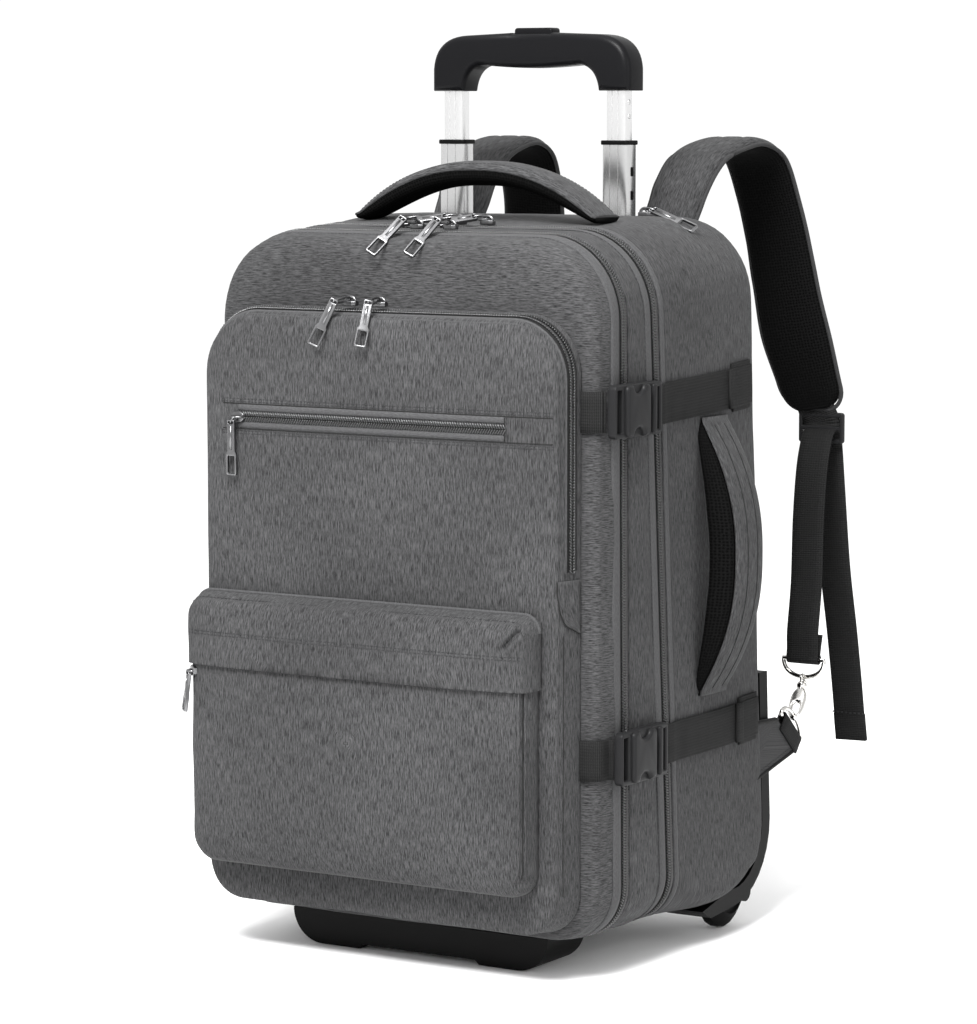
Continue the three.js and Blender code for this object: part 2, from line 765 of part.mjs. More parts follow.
// The grip: one moulded bow with a socket over each upper tube and a recess for the release button
function grip() {
  const legHalf = upperTube.width / 2 + gripSocket;
  const outer = tubeSpacing / 2 + legHalf + 2.5;
  const inner = tubeSpacing / 2 - legHalf;
  const under = gripTop - gripBar;
  const shape = new THREE.Shape();
  shape.moveTo(-outer, gripBottom);
  shape.lineTo(-outer, gripTop - 28);
  shape.quadraticCurveTo(-outer + 2, gripTop - 3, -outer + 30, gripTop - 2);
  shape.lineTo(0, gripTop);
  shape.lineTo(outer - 30, gripTop - 2);
  shape.quadraticCurveTo(outer - 2, gripTop - 3, outer, gripTop - 28);
  shape.lineTo(outer, gripBottom);
  shape.lineTo(inner, gripBottom);
  shape.quadraticCurveTo(inner - 2, under - 4, inner - 16, under - 1);
  shape.quadraticCurveTo(0, under - 6, -inner + 16, under - 1);
  shape.quadraticCurveTo(-inner + 2, under - 4, -inner, gripBottom);
  shape.closePath();
  const straight = gripDepth - 2 * gripBevel;
  const made = new THREE.ExtrudeGeometry(shape, {
    depth: straight,
    bevelEnabled: true,
    bevelThickness: gripBevel,
    bevelSize: gripBevel * 0.7,
    bevelOffset: -gripBevel * 0.7,
    bevelSegments: 1,
    curveSegments: 5,
  });
  made.translate(0, 0, -straight / 2);
  made.applyMatrix4(
    new THREE.Matrix4().makeBasis(X, Z, new THREE.Vector3(0, -1, 0)).setPosition(0, trolleyY, 0),
  );
  let bow = solid(made);
  for (const { sign } of sides)
    bow = bow.subtract(
      tubeSolid(
        upperTube.width + 2 * gap,
        upperTube.depth + 2 * gap,
        (sign * tubeSpacing) / 2,
        gripBottom - 2,
        upperTube.top + gap,
      ),
    );
  const recess = box(
    -buttonWidth / 2 - gap,
    buttonWidth / 2 + gap,
    trolleyY - buttonDepth / 2 - gap,
    trolleyY + buttonDepth / 2 + gap,
    gripTop - buttonRecess,
    gripTop + buttonRecess,
  );
  return geometryOf(bow.subtract(recess));
}

function gripButton() {
  const shape = new THREE.Shape();
  const half = buttonWidth / 2;
  const low = gripTop - buttonRecess + buttonTravel + gap;
  const high = gripTop + buttonProud;
  shape.moveTo(-half, low);
  shape.lineTo(half, low);
  shape.lineTo(half, high - 2.5);
  shape.quadraticCurveTo(half, high, half - 4, high);
  shape.lineTo(-half + 4, high);
  shape.quadraticCurveTo(-half, high, -half, high - 2.5);
  shape.closePath();
  return geometryOf(
    slab(shape, -buttonDepth / 2, buttonDepth / 2, new THREE.Vector3(0, trolleyY, 0), X, Z, 4),
  );
}

// Carry handles

// Height of an arched band at a share of its span: flat sewn ends, then one smooth bow
function bowHeight(share, rise) {
  const s = Math.min(Math.max((Math.abs(share) - 0.03) / 0.94, 0), 1);
  return rise * (1 - s ** 2.2) ** 1.15;
}

const endThickness = (share, thick) => THREE.MathUtils.lerp(thick, thick * 0.35, Math.abs(share) ** 6);

// A padded band arched from one sewn end to the other, and trimmed where it meets the bag
function archedBand({ width, thick, rise, halfSpan }, place) {
  const steps = 10;
  const path = [];
  for (let k = -steps; k <= steps; k++) {
    const share = k / steps;
    path.push(place(share * halfSpan, gap + endThickness(share, thick) / 2 + bowHeight(share, rise)));
  }
  const band = sweep(path, Y, (t) => paddedSection(width, endThickness(2 * t - 1, thick)));
  return geometryOf(solid(band).subtract(bagBlock()));
}

function topHandleBand() {
  const { x, y, width } = topHandle;
  const seat = topZ(y + width / 2);
  return archedBand(topHandle, (along, height) => new THREE.Vector3(x + along, y, seat + height));
}

function sideHandleBand() {
  const { y, z, width } = sideHandle;
  const seat = Math.max(sideX(y - width / 2, z), sideX(y + width / 2, z));
  return archedBand(sideHandle, (along, height) => new THREE.Vector3(seat + height, y, z + along));
}

// Compression straps

// z is the height of the buckle's middle and climb how much the rear web rises over its length
const compressionRows = [
  { level: "upper", z: 423, buckleFront: -113, climb: 8 },
  { level: "lower", z: 170, buckleFront: -103, climb: 3 },
];
const buckleLift = 2.4;

// Webbing that hugs the bag's side, from one depth to another, over the zips and round the back edge
function sideWeb(sign, from, to, z0, z1) {
  const lift = gap + webThick / 2;
  const depths = [from, ...Object.keys(bagRows).map((name) => rowY(name, z0)), to];
  const over = [rowY("mainZipNear", z0), rowY("mainZipFar", z0)];
  const rise = zipCoil + 3 * gap;
  const beyond = 0.5;
  const path = depths
    .filter((y) => y >= from && y <= to)
    .sort((a, b) => a - b)
    .filter((y, i, all) => i === 0 || y - all[i - 1] > webThick)
    .map((y) => {
      const onZip = y > over[0] - 1 && y < over[1] + 1;
      const extra = onZip ? rise : y > over[1] ? beyond : 0;
      const x = sideX(y, z0) + lift + extra;
      return new THREE.Vector3(sign * x, y, THREE.MathUtils.mapLinear(y, from, to, z0, z1));
    });
  return sweep(path, Z, flatSection(compressionWeb, webThick));
}

// The short front web comes out beside the organizer, rounds the corner and meets the buckle's fork
function frontWeb(sign, buckleFront, z) {
  const lift = 1.5 * gap + webThick / 2;
  const edge = bagFront - lift;
  const rows = [
    [organizerRows.base.half * organizerHalf + gap, edge],
    [rowSide("faceEdge"), edge],
    [sideX(rowY("rim", z), z) + lift, Math.min(rowY("rim", z), buckleFront - gap - 1)],
    [sideX(buckleFront, z) + lift + buckleLift, buckleFront - gap],
  ].filter(([, y], i, all) => i === 0 || y > all[i - 1][1] || i < 2);
  return sweep(
    rows.map(([x, y]) => new THREE.Vector3(sign * x, y, z)),
    Z,
    flatSection(compressionWeb, webThick),
  );
}

// A side-release buckle: forked end to the front, two waisted arms, a bar at each end for the web
function compressionBuckle(sign, front, z) {
  const { length, height, thick, waist, bar } = buckle;
  const h = height / 2;
  const shape = new THREE.Shape();
  const [fork, near, far] = [length * 0.2, length * 0.32, length * 0.6];
  const middle = (near + far) / 2;
  shape.moveTo(0, -h + 2);
  shape.lineTo(fork, -h);
  shape.lineTo(near, -h);
  shape.quadraticCurveTo(middle, -h + waist, far, -h);
  shape.lineTo(length, -h + 1);
  shape.lineTo(length, h - 1);
  shape.lineTo(far, h);
  shape.quadraticCurveTo(middle, h - waist, near, h);
  shape.lineTo(fork, h);
  shape.lineTo(0, h - 2);
  shape.closePath();
  const slot = compressionWeb / 2 + 1;
  const seat = Math.max(sideX(front, z), sideX(front + length / 2, z), sideX(front + length, z));
  const origin = new THREE.Vector3(sign * (seat + buckleLift + thick / 2), front, z);
  const body = slab(shape, -thick / 2, thick / 2, origin, Y, Z, 5);
  const slots = [
    [bar, fork - bar + 1],
    [length - 2 * bar - 1, length - bar],
  ];
  return geometryOf(
    slots.reduce(
      (made, [from, to]) =>
        made.subtract(box(-2 * seat, 2 * seat, front + from, front + to, z - slot, z + slot)),
      body,
    ),
  );
}

// Shoulder straps. The route of each is a few points chosen by hand: side, depth, height and width.
const padRoute = [
  [97, 110, 552, 44],
  [97, 119, 566, 46],
  [98, 130, 583, 48],
  [99, 150, 600, 50],
  [102, 178, 609, 52],
  [104, 206, 611, 53],
  [107, 231, 599, 54],
  [110, 247, 568, 54],
  [114, 256, 535, 55],
  [118, 262, 500, 57],
  [124, 270, 456, 61],
  [131, 281, 416, 56],
  [134, 284, 398, 30],
];

// Lower end of each strap: the webbing turns round the strap ring's bar, climbs to the ladder lock,
// turns over its bar and hangs down as a free tail
const strapRing = { x: 158, y: 222, z: 203.5, drop: 14.5, half: 18 };
const lockPlace = { x: 139.5, y: 286, z: 395.5 };
const webTurn = ringWire + gap + webThick / 2;
const { x: ringX, y: ringY, z: ringZ } = strapRing;
const { x: lockX, y: lockY, z: lockZ } = lockPlace;
const webRoute = [
  [ringX - 1.2, ringY + 4.6 + webTurn, ringZ + 18.5],
  [ringX - 0.6, ringY + webTurn, ringZ + 4.5],
  [ringX, ringY + webTurn, ringZ],
  [ringX, ringY + webTurn * 0.7, ringZ - webTurn * 0.7],
  [ringX, ringY, ringZ - webTurn],
  [ringX, ringY - webTurn * 0.7, ringZ - webTurn * 0.7],
  [ringX, ringY - webTurn, ringZ],
  [ringX - 1, ringY - 0.5, ringZ + 8.5],
  [ringX - 2.4, ringY + 2.5, ringZ + 22.5],
  [151, 239, 262],
  [147, 249, 310],
  [143, 262, 350],
  [lockX + 1, lockY - 12, lockZ - 23.5],
  [lockX, lockY - 5, lockZ - 16],
  [lockX, lockY, lockZ - 14],
  [lockX + 0.1, lockY + 5.5, lockZ - 16],
  [lockX + 0.5, lockY + 8, lockZ - 23.5],
  [144, 293, 330],
  [147, 297, 270],
  [149, 307, 215],
  [151, 315, 160],
  [152, 319, 124],
];

const mirrored = (rows, sign) => rows.map(([x, y, z]) => [sign * x, y, z]);

function shoulderPad(sign) {
  const path = curveThrough(mirrored(padRoute, sign), 22);
  const widths = padRoute.map((row) => row[3]);
  const band = sweep(path, X, (t) => {
    const at = t * (widths.length - 1);
    const i = Math.min(Math.floor(at), widths.length - 2);
    const width = THREE.MathUtils.lerp(widths[i], widths[i + 1], at - i);
    return paddedSection(width, t > 0.95 ? padThick * 0.6 : padThick);
  });
  return geometryOf(solid(band).subtract(bagBlock()));
}

function strapWebbing(sign) {
  return sweep(curveThrough(mirrored(webRoute, sign), 50), X, flatSection(strapWeb, webThick));
}

function rectangle(x0, x1, y0, y1) {
  const shape = new THREE.Shape();
  shape.moveTo(x0, y0);
  shape.lineTo(x1, y0);
  shape.lineTo(x1, y1);
  shape.lineTo(x0, y1);
  shape.closePath();
  return shape;
}

// Ladder lock: a frame sewn to the pad's end, whose lower bar the webbing turns over
function ladderLock(sign) {
  const { width, height, thick, rail } = lock;
  const { x, y, z } = lockPlace;
  const outer = rectangle(-width / 2, width / 2, -height, 0);
  outer.holes.push(rectangle(-width / 2 + rail, width / 2 - rail, -height + rail, -height * 0.3));
  return geometryOf(slab(outer, -thick / 2, thick / 2, new THREE.Vector3(sign * x, y, z), X, Z));
}

// A closed wire: a straight bar and a bow that bulges to one side of it
function wireRing(middle, along, bulge, half, depth, wire) {
  const steps = 12;
  const centre = [];
  for (let k = 0; k <= steps; k++) {
    const angle = (k / steps) * Math.PI;
    centre.push([half * Math.cos(angle), depth * Math.sin(angle) ** 0.8]);
  }
  for (const share of [-0.5, 0, 0.5]) centre.push([half * share, 0]);
  const normal = new THREE.Vector3().crossVectors(along, bulge).normalize();
  const place = ([u, v]) => middle.clone().addScaledVector(along, u).addScaledVector(bulge, v);
  const points = centre.map(place);
  const sidesOfWire = 6;
  const loops = points.map((p, i) => {
    const ahead = points[(i + 1) % points.length];
    const behind = points[(i + points.length - 1) % points.length];
    const heading = new THREE.Vector3().subVectors(ahead, behind).normalize();
    const out = new THREE.Vector3().crossVectors(heading, normal);
    const loop = [];
    for (let j = 0; j < sidesOfWire; j++) {
      const angle = (j / sidesOfWire) * 2 * Math.PI;
      loop.push(
        p
          .clone()
          .addScaledVector(out, wire * Math.cos(angle))
          .addScaledVector(normal, wire * Math.sin(angle)),
      );
    }
    return loop;
  });
  return skin(loops, true);
}

// The tab at the bag's lower back corner, with a webbing loop on its slanted edge. Its outline and
// the loop's and ring's places lie in the plane of the bag's side.
const tab = { x: 165.2, thick: 3, top: 168, bottom: 117, root: 118 };
const tabOutTop = [161, 166];
const tabOutBottom = [197, 134];
const tabLoop = { width: 36, reach: 11, thick: 8 };
const tabEdge = new THREE.Vector3(0, tabOutBottom[0] - tabOutTop[0], tabOutBottom[1] - tabOutTop[1]);
const tabAlong = tabEdge.clone().normalize();
const tabMiddle = new THREE.Vector3(0, ...tabOutTop).addScaledVector(tabEdge, 0.5);
const tabRing = { seat: 6.8, shift: 2, half: 22, drop: 14.5 };

const tabOut = () => new THREE.Vector3(0, -tabAlong.z, tabAlong.y);

function tabPoint(sign, out, along) {
  const seat = tabMiddle.clone().setX(sign * tab.x);
  return seat.addScaledVector(tabOut(), out).addScaledVector(tabAlong, along);
}

function strapTab(sign) {
  const shape = new THREE.Shape();
  shape.moveTo(tab.root, tab.bottom);
  shape.lineTo(...tabOutBottom);
  shape.lineTo(...tabOutTop);
  shape.lineTo(tab.root, tab.top);
  shape.closePath();
  const half = tab.thick / 2;
  const flap = slab(shape, -half, half, new THREE.Vector3(sign * tab.x, 0, 0), Y, Z).subtract(bagBlock());
  const loop = slab(
    rectangle(-tabLoop.width / 2, tabLoop.width / 2, -4, tabLoop.reach),
    -tabLoop.thick / 2,
    tabLoop.thick / 2,
    tabPoint(sign, 0, tabRing.shift),
    tabAlong,
    tabOut(),
  );
  const seat = (along) => tabPoint(sign, tabRing.seat, tabRing.shift + along);
  const bore = rod(seat(-tabLoop.width), seat(tabLoop.width), ringWire + gap, 12);
  return geometryOf(flap.add(loop).subtract(bore));
}

const tabRingMesh = (sign) => {
  const { seat, shift, half, drop } = tabRing;
  return wireRing(tabPoint(sign, seat, shift), tabAlong, tabOut(), half, drop, ringWire);
};

const strapRingMesh = (sign) => {
  const { x, y, z, drop, half } = strapRing;
  return wireRing(new THREE.Vector3(sign * x, y, z), X, Z.clone().negate(), half, drop, ringWire);
};

// The snap hook: an eye round the strap ring, a neck, and a long body whose throat holds the tab ring
const hook = { eye: 4.2, wire: 1.5, neck: 2.6, width: 12.5, throat: 6.6, throatLength: 15, end: 4, thick: 4.2 };

function snapHook(sign) {
  const bowBottom = new THREE.Vector3(sign * strapRing.x, strapRing.y, strapRing.z - strapRing.drop);
  const eyeCentre = bowBottom.clone().addScaledVector(Z, -(hook.eye - ringWire - gap));
  const held = tabPoint(sign, tabRing.seat + tabRing.drop, tabRing.shift);
  const down = new THREE.Vector3().subVectors(held, eyeCentre);
  const reach = down.length();
  down.normalize();
  const across = new THREE.Vector3().crossVectors(tabAlong, down).normalize();
  const throatEnd = reach + ringWire + gap;
  const [w, t] = [hook.width / 2, hook.throat / 2];
  const shape = new THREE.Shape();
  shape.moveTo(-hook.neck, hook.eye + 1);
  shape.lineTo(-hook.neck, hook.eye + 8);
  shape.quadraticCurveTo(-w, hook.eye + 12, -w, reach * 0.6);
  shape.quadraticCurveTo(-w, throatEnd + hook.end, 0, throatEnd + hook.end);
  shape.quadraticCurveTo(w, throatEnd + hook.end, w, reach * 0.6);
  shape.quadraticCurveTo(w, hook.eye + 12, hook.neck, hook.eye + 8);
  shape.lineTo(hook.neck, hook.eye + 1);
  shape.closePath();
  const throat = new THREE.Path();
  throat.moveTo(t, throatEnd - hook.throatLength);
  throat.lineTo(t, throatEnd - t);
  throat.quadraticCurveTo(t, throatEnd, 0, throatEnd);
  throat.quadraticCurveTo(-t, throatEnd, -t, throatEnd - t);
  throat.lineTo(-t, throatEnd - hook.throatLength);
  throat.closePath();
  shape.holes.push(throat);
  const body = slab(shape, -hook.thick / 2, hook.thick / 2, eyeCentre, across, down, 3);
  const torus = new THREE.TorusGeometry(hook.eye + hook.wire, hook.wire, 6, 12);
  torus.rotateY(Math.PI / 2);
  torus.translate(eyeCentre.x, eyeCentre.y, eyeCentre.z);
  return geometryOf(body.add(solid(torus)));
}

// Zip sliders and their pulls
const midway = (near, far) => (rowY(near, bagTop) + rowY(far, bagTop)) / 2;
const point = (x, y, z) => new THREE.Vector3(x, y, z);
const frontZipY = midway("frontZipNear", "frontZipFar");
const mainZipY = midway("mainZipNear", "mainZipFar");
const rearZipY = trolleyY - 11;
const onFrontZip = (x) => point(x, frontZipY, bagTop + zipCoil);
const onMainZip = (x) => point(x, mainZipY, topZ(mainZipY) + zipCoil);
const onOrganizerZip = (x) => point(x, organizerBase - organizerDepth * 0.36, organizerTop + zipCoil);
const slashHeight = 410;
const slashInset = 25;
const slashEnd = point(slashInset - organizerHalf, organizerBase - 0.95 * organizerDepth, slashHeight);
const pocketPullInset = 5.5;
const pocketPullDrop = 6;
const pocketEnd = point(
  pocketCentre - pocketHalf + pocketPullInset,
  pocketBack - 0.65 * pocketDepth,
  flapBottom - pocketPullDrop,
);
const rearPullOut = 29.5;
const rearEnd = point(tubeSpacing / 2 + rearPullOut, rearZipY, topZ(rearZipY));
const zipToFront = bagFront - frontZipY;
const forward = point(0, -1, 0);
const pocketEdge = point(-0.655, -0.756, 0);

// at is the slider's place on its zip, and up the way its face looks. from and to, the ends of the
// pull, are measured from there.
const pulls = [
  {
    name: "pull_front_a",
    at: onFrontZip(-8),
    from: [-3, zipToFront + 18.5, 9.1],
    to: [-14, zipToFront - 10.5, -16.9],
  },
  {
    name: "pull_front_b",
    at: onFrontZip(21),
    from: [-2, zipToFront + 19, 8.6],
    to: [-10, zipToFront - 10, -17.4],
  },
  { name: "pull_main_a", at: onMainZip(2), from: [-7, -5.5, 6.1], to: [-40, -19.5, 1.6] },
  { name: "pull_main_b", at: onMainZip(27), from: [-6, -5.5, 6.1], to: [-29, -22.5, 1.6] },
  { name: "pull_organizer_a", at: onOrganizerZip(-39), from: [-4, -14.7, 5.6], to: [-25, -25.2, -28.4] },
  { name: "pull_organizer_b", at: onOrganizerZip(-13), from: [0, -14.7, 5.6], to: [-2, -24.2, -28.4] },
  { name: "pull_slash", at: slashEnd, from: [-3, -7, -2], to: [-4, -5, -44], up: forward },
  { name: "pull_pocket", at: pocketEnd, from: [-3.5, -4.3, -1], to: [-7.5, -5.3, -31], up: pocketEdge },
  { name: "pull_rear", at: rearEnd, from: [6, 0, 5.4], to: [45, -4, -8.6] },
];

function zipPull({ at, from: near, to: far, up = Z }) {
  const [from, to] = [near, far].map((offset) => point(...offset).add(at));
  const along = new THREE.Vector3().subVectors(to, from);
  const length = along.length();
  along.normalize();
  const across = new THREE.Vector3().crossVectors(up, along).normalize();
  const w = pullWidth / 2;
  const half = pullThick / 2;
  const open = length * 0.38;
  const slim = w * 0.75;
  const shape = new THREE.Shape();
  shape.moveTo(-slim, 0);
  shape.lineTo(slim, 0);
  shape.lineTo(slim, length - open - pullRim);
  shape.lineTo(w, length - open);
  shape.lineTo(w, length);
  shape.lineTo(-w, length);
  shape.lineTo(-w, length - open);
  shape.lineTo(-slim, length - open - pullRim);
  shape.closePath();
  shape.holes.push(rectangle(pullRim - w, w - pullRim, length - open + pullRim, length - pullRim));
  const runs = new THREE.Vector3().crossVectors(up, Math.abs(up.z) > 0.5 ? Y : Z).normalize();
  const body = slab(
    rectangle(-slider.length / 2, slider.length / 2, -slider.width / 2, slider.width / 2),
    gap,
    gap + slider.height,
    at,
    runs,
    new THREE.Vector3().crossVectors(up, runs),
  );
  const knob = at.clone().addScaledVector(up, gap + slider.height - 1);
  const link = rod(knob, from.clone().addScaledVector(along, pullThick), pullThick * 0.4, 6);
  return geometryOf(slab(shape, -half, half, from, across, along).add(link).add(body));
}

// Assembly
add("front_compartment", frontCompartment(), finish.heather);
add("middle_gusset", middleGusset(), finish.heather);
add("rear_compartment", rearCompartment(), finish.heather);
add("back_panel", backPanel(), finish.lining);
add("organizer", organizer(), finish.heather);
add("front_pocket", frontPocket(), finish.heather);
add("pocket_flap", pocketFlap(), finish.heather);
add("zip_front", zipBetween(bagLoop("frontZipNear"), bagLoop("frontZipFar")), finish.zip);
add("zip_main", zipBetween(bagLoop("mainZipNear"), bagLoop("mainZipFar")), finish.zip);
add("zip_organizer", organizerZip(), finish.zip);
add("top_handle", topHandleBand(), finish.heather);
add("side_handle", sideHandleBand(), finish.heather);
add("rear_plate", rearPlate(), finish.plastic);
add("front_foot", frontFoot(), finish.plastic);
add("trolley_base", trolleyBase(), finish.aluminium);
add("grip", grip(), finish.plastic);
add("grip_button", gripButton(), finish.plastic);
for (const pull of pulls) add(pull.name, zipPull(pull), finish.gunmetal);
for (const { tag, sign } of sides) {
  add(`wheel_${tag}`, wheel(sign), finish.rubber);
  add(`lower_tube_${tag}`, lowerTubeSolid(sign), finish.aluminium);
  add(`upper_tube_${tag}`, upperTubeSolid(sign), finish.aluminium);
  add(`shoulder_pad_${tag}`, shoulderPad(sign), finish.heather);
  add(`strap_webbing_${tag}`, strapWebbing(sign), finish.webbing);
  add(`ladder_lock_${tag}`, ladderLock(sign), finish.plastic);
  add(`strap_ring_${tag}`, strapRingMesh(sign), finish.nickel);
  add(`snap_hook_${tag}`, snapHook(sign), finish.nickel);
  add(`tab_ring_${tag}`, tabRingMesh(sign), finish.nickel);
  add(`strap_tab_${tag}`, strapTab(sign), finish.heather);
  for (const { level, z, buckleFront, climb } of compressionRows) {
    const rearStart = buckleFront + buckle.length + gap + 1;
    const rearStop = rowY("rearEdge", z) - 1;
    const rearWeb = sideWeb(sign, rearStart, rearStop, z, z + climb);
    add(`compression_web_front_${level}_${tag}`, frontWeb(sign, buckleFront, z), finish.webbing);
    add(`compression_buckle_${level}_${tag}`, compressionBuckle(sign, buckleFront, z), finish.plastic);
    add(`compression_web_rear_${level}_${tag}`, rearWeb, finish.webbing);
  }
}

// The frame's origin is under the middle of the whole, on the floor that it stands on
const extent = new THREE.Box3().setFromObject(bag);
const middle = extent.getCenter(new THREE.Vector3());
bag.position.set(-middle.x, -middle.y, -extent.min.z);

export default bag;
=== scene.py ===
"""A soft cabin backpack on wheels: heather cloth compartments on a moulded base, with a telescopic
trolley, padded shoulder straps clipped at the back and compression straps at the sides."""

import math

import bmesh
import bpy
from mathutils import Matrix, Vector, noise
from mathutils.bvhtree import BVHTree


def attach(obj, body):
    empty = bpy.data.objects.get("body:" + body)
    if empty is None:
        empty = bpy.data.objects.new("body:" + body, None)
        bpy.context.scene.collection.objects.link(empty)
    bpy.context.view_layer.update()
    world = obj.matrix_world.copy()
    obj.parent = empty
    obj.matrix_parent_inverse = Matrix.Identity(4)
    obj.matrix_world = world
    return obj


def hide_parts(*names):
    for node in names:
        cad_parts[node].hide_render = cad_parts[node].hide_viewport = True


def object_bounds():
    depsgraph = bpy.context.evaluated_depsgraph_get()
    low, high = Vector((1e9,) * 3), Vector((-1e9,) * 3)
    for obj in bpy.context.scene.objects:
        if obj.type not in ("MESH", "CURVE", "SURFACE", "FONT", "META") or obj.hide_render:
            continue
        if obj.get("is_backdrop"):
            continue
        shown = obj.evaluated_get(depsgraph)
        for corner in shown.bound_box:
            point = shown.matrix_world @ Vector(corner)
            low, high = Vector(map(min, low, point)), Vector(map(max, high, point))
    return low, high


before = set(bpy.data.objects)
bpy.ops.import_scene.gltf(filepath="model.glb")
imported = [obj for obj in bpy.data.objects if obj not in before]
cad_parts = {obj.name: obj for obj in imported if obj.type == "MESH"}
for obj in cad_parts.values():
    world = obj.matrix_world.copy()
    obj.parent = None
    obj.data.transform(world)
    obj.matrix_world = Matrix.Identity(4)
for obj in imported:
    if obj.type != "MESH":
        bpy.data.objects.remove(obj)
cad_box = [list(corner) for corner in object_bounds()]

# Studio: the bag stands on a white floor in soft light from all sides, with the strongest from high
# in front. The camera looks from the front right, a little above the bag's middle.
BAG_ORIGIN = Vector((12.0945, 71.7671, 4.0))


def at(x, y, z):
    """A point in the bag's own millimetres (middle of the bag, main front at -118) in the scene."""
    return (Vector((x, y, z)) - BAG_ORIGIN) / 1000


def mm(v):
    return v * 1000 + BAG_ORIGIN


camera = bpy.data.objects.new("camera", bpy.data.cameras.new("camera"))
bpy.context.collection.objects.link(camera)
turn, rise, distance = math.radians(32), math.radians(6), 2.95
back = Vector((math.sin(turn) * math.cos(rise), -math.cos(turn) * math.cos(rise), math.sin(rise)))
camera.location = at(0.42, 0.26, 332) + back * distance
camera.rotation_mode = "QUATERNION"
camera.rotation_quaternion = (-back).to_track_quat("-Z", "Y")
camera.data.lens = 135.35
camera.data.sensor_width = 36
camera.data.clip_end = 50
bpy.context.scene.camera = camera
bpy.context.scene.view_settings.view_transform = "Standard"

world = bpy.data.worlds.new("studio")
bpy.context.scene.world = world
world.use_nodes = True
world.node_tree.nodes["Background"].inputs["Color"].default_value = (1, 1, 1, 1)
world.node_tree.nodes["Background"].inputs["Strength"].default_value = 1.04


def softbox(name, place, aim, size, power):
    lamp = bpy.data.lights.new(name, "AREA")
    lamp.shape = "SQUARE"
    lamp.size = size
    lamp.energy = power
    light = bpy.data.objects.new(name, lamp)
    light.location = place
    light.rotation_mode = "QUATERNION"
    light.rotation_quaternion = (Vector(aim) - Vector(place)).to_track_quat("-Z", "Y")
    bpy.context.collection.objects.link(light)


softbox("overhead", (-0.3, -0.4, 2.4), (0, 0, 0.3), 1.4, 12)
softbox("front_high", (0.3, -1.35, 1.85), (0, 0, 0.45), 0.9, 116)
softbox("right_side", (2.4, -0.4, 1.2), (0, 0, 0.35), 1.0, 10)


def paper_white():
    made = bpy.data.materials.new("floor_white")
    made.use_nodes = True
    made.node_tree.nodes["Principled BSDF"].inputs["Base Color"].default_value = (0.985, 0.985, 0.985, 1)
    made.node_tree.nodes["Principled BSDF"].inputs["Roughness"].default_value = 0.7
    return made


bpy.ops.mesh.primitive_plane_add(size=14, location=(0, 0, -0.0006))
floor = bpy.context.object
floor.name = "floor"
floor.data.materials.append(paper_white())
floor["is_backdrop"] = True

# The main cloth: heather polyester, a plain weave of dark and light grey slub yarn. The slubs lie
# along the piece's first UV direction, or across it where the cloth is cut the other way.
HEATHER_DARK = (0.008, 0.008, 0.0083, 1)
HEATHER_LIGHT = (0.058, 0.058, 0.0595, 1)


def node(tree, kind, **values):
    made = tree.nodes.new(kind)
    for key, value in values.items():
        if key in made.inputs:
            made.inputs[key].default_value = value
        else:
            setattr(made, key, value)
    return made


def surface(name, roughness, sheen=0.0, metallic=0.0, specular=0.15):
    """A material with its shader's plain numbers set, and its tree to add the rest to"""
    made = bpy.data.materials.new(name)
    made.use_nodes = True
    shader = made.node_tree.nodes["Principled BSDF"]
    shader.inputs["Roughness"].default_value = roughness
    shader.inputs["Sheen Weight"].default_value = sheen
    shader.inputs["Specular IOR Level"].default_value = 0.5 if metallic else specular
    shader.inputs["Metallic"].default_value = metallic
    return made, made.node_tree, shader


def colour_band(tree, low, high, start, stop):
    ramp = node(tree, "ShaderNodeValToRGB")
    ramp.color_ramp.elements[0].position = start
    ramp.color_ramp.elements[0].color = low
    ramp.color_ramp.elements[1].position = stop
    ramp.color_ramp.elements[1].color = high
    return ramp


def heather(name, across=False, painted_shade_level=1.0):
    made, tree, shader = surface(name, 0.92, sheen=0.03)
    link = tree.links.new
    uv = node(tree, "ShaderNodeTexCoord")
    along = (110, 1350, 1) if not across else (1350, 110, 1)
    yarn = (300, 2300, 1) if not across else (2300, 300, 1)
    slub_place = node(tree, "ShaderNodeMapping", Scale=along)
    yarn_place = node(tree, "ShaderNodeMapping", Scale=yarn)
    slub = node(tree, "ShaderNodeTexNoise", Scale=1.0, Detail=3.0, Roughness=0.62, Distortion=0.15)
    weave = node(tree, "ShaderNodeTexNoise", Scale=1.0, Detail=2.0, Roughness=0.6)
    cloud = node(tree, "ShaderNodeTexNoise", Scale=9.0, Detail=2.0)
    mix = node(tree, "ShaderNodeMix", Factor=0.34, data_type="FLOAT")
    ramp = colour_band(tree, HEATHER_DARK, HEATHER_LIGHT, 0.39, 0.63)
    shade = node(tree, "ShaderNodeMix", Factor=1.0, data_type="RGBA", blend_type="MULTIPLY")
    # A level under 1 darkens the whole cloth evenly: painted shade.
    patch = colour_band(tree, (0.86 * painted_shade_level,) * 3 + (1,), (1.1 * painted_shade_level,) * 3 + (1,), 0.35, 0.65)
    bump = node(tree, "ShaderNodeBump", Strength=0.35, Distance=0.0005)
    link(uv.outputs["UV"], slub_place.inputs["Vector"])
    link(uv.outputs["UV"], yarn_place.inputs["Vector"])
    link(uv.outputs["Object"], cloud.inputs["Vector"])
    link(slub_place.outputs[0], slub.inputs["Vector"])
    link(yarn_place.outputs[0], weave.inputs["Vector"])
    link(slub.outputs[0], mix.inputs[2])
    link(weave.outputs[0], mix.inputs[3])
    link(mix.outputs[0], ramp.inputs[0])
    link(cloud.outputs[0], patch.inputs[0])
    link(ramp.outputs[0], shade.inputs[6])
    link(patch.outputs[0], shade.inputs[7])
    link(shade.outputs[2], shader.inputs["Base Color"])
    link(mix.outputs[0], bump.inputs["Height"])
    link(bump.outputs[0], shader.inputs["Normal"])
    return made


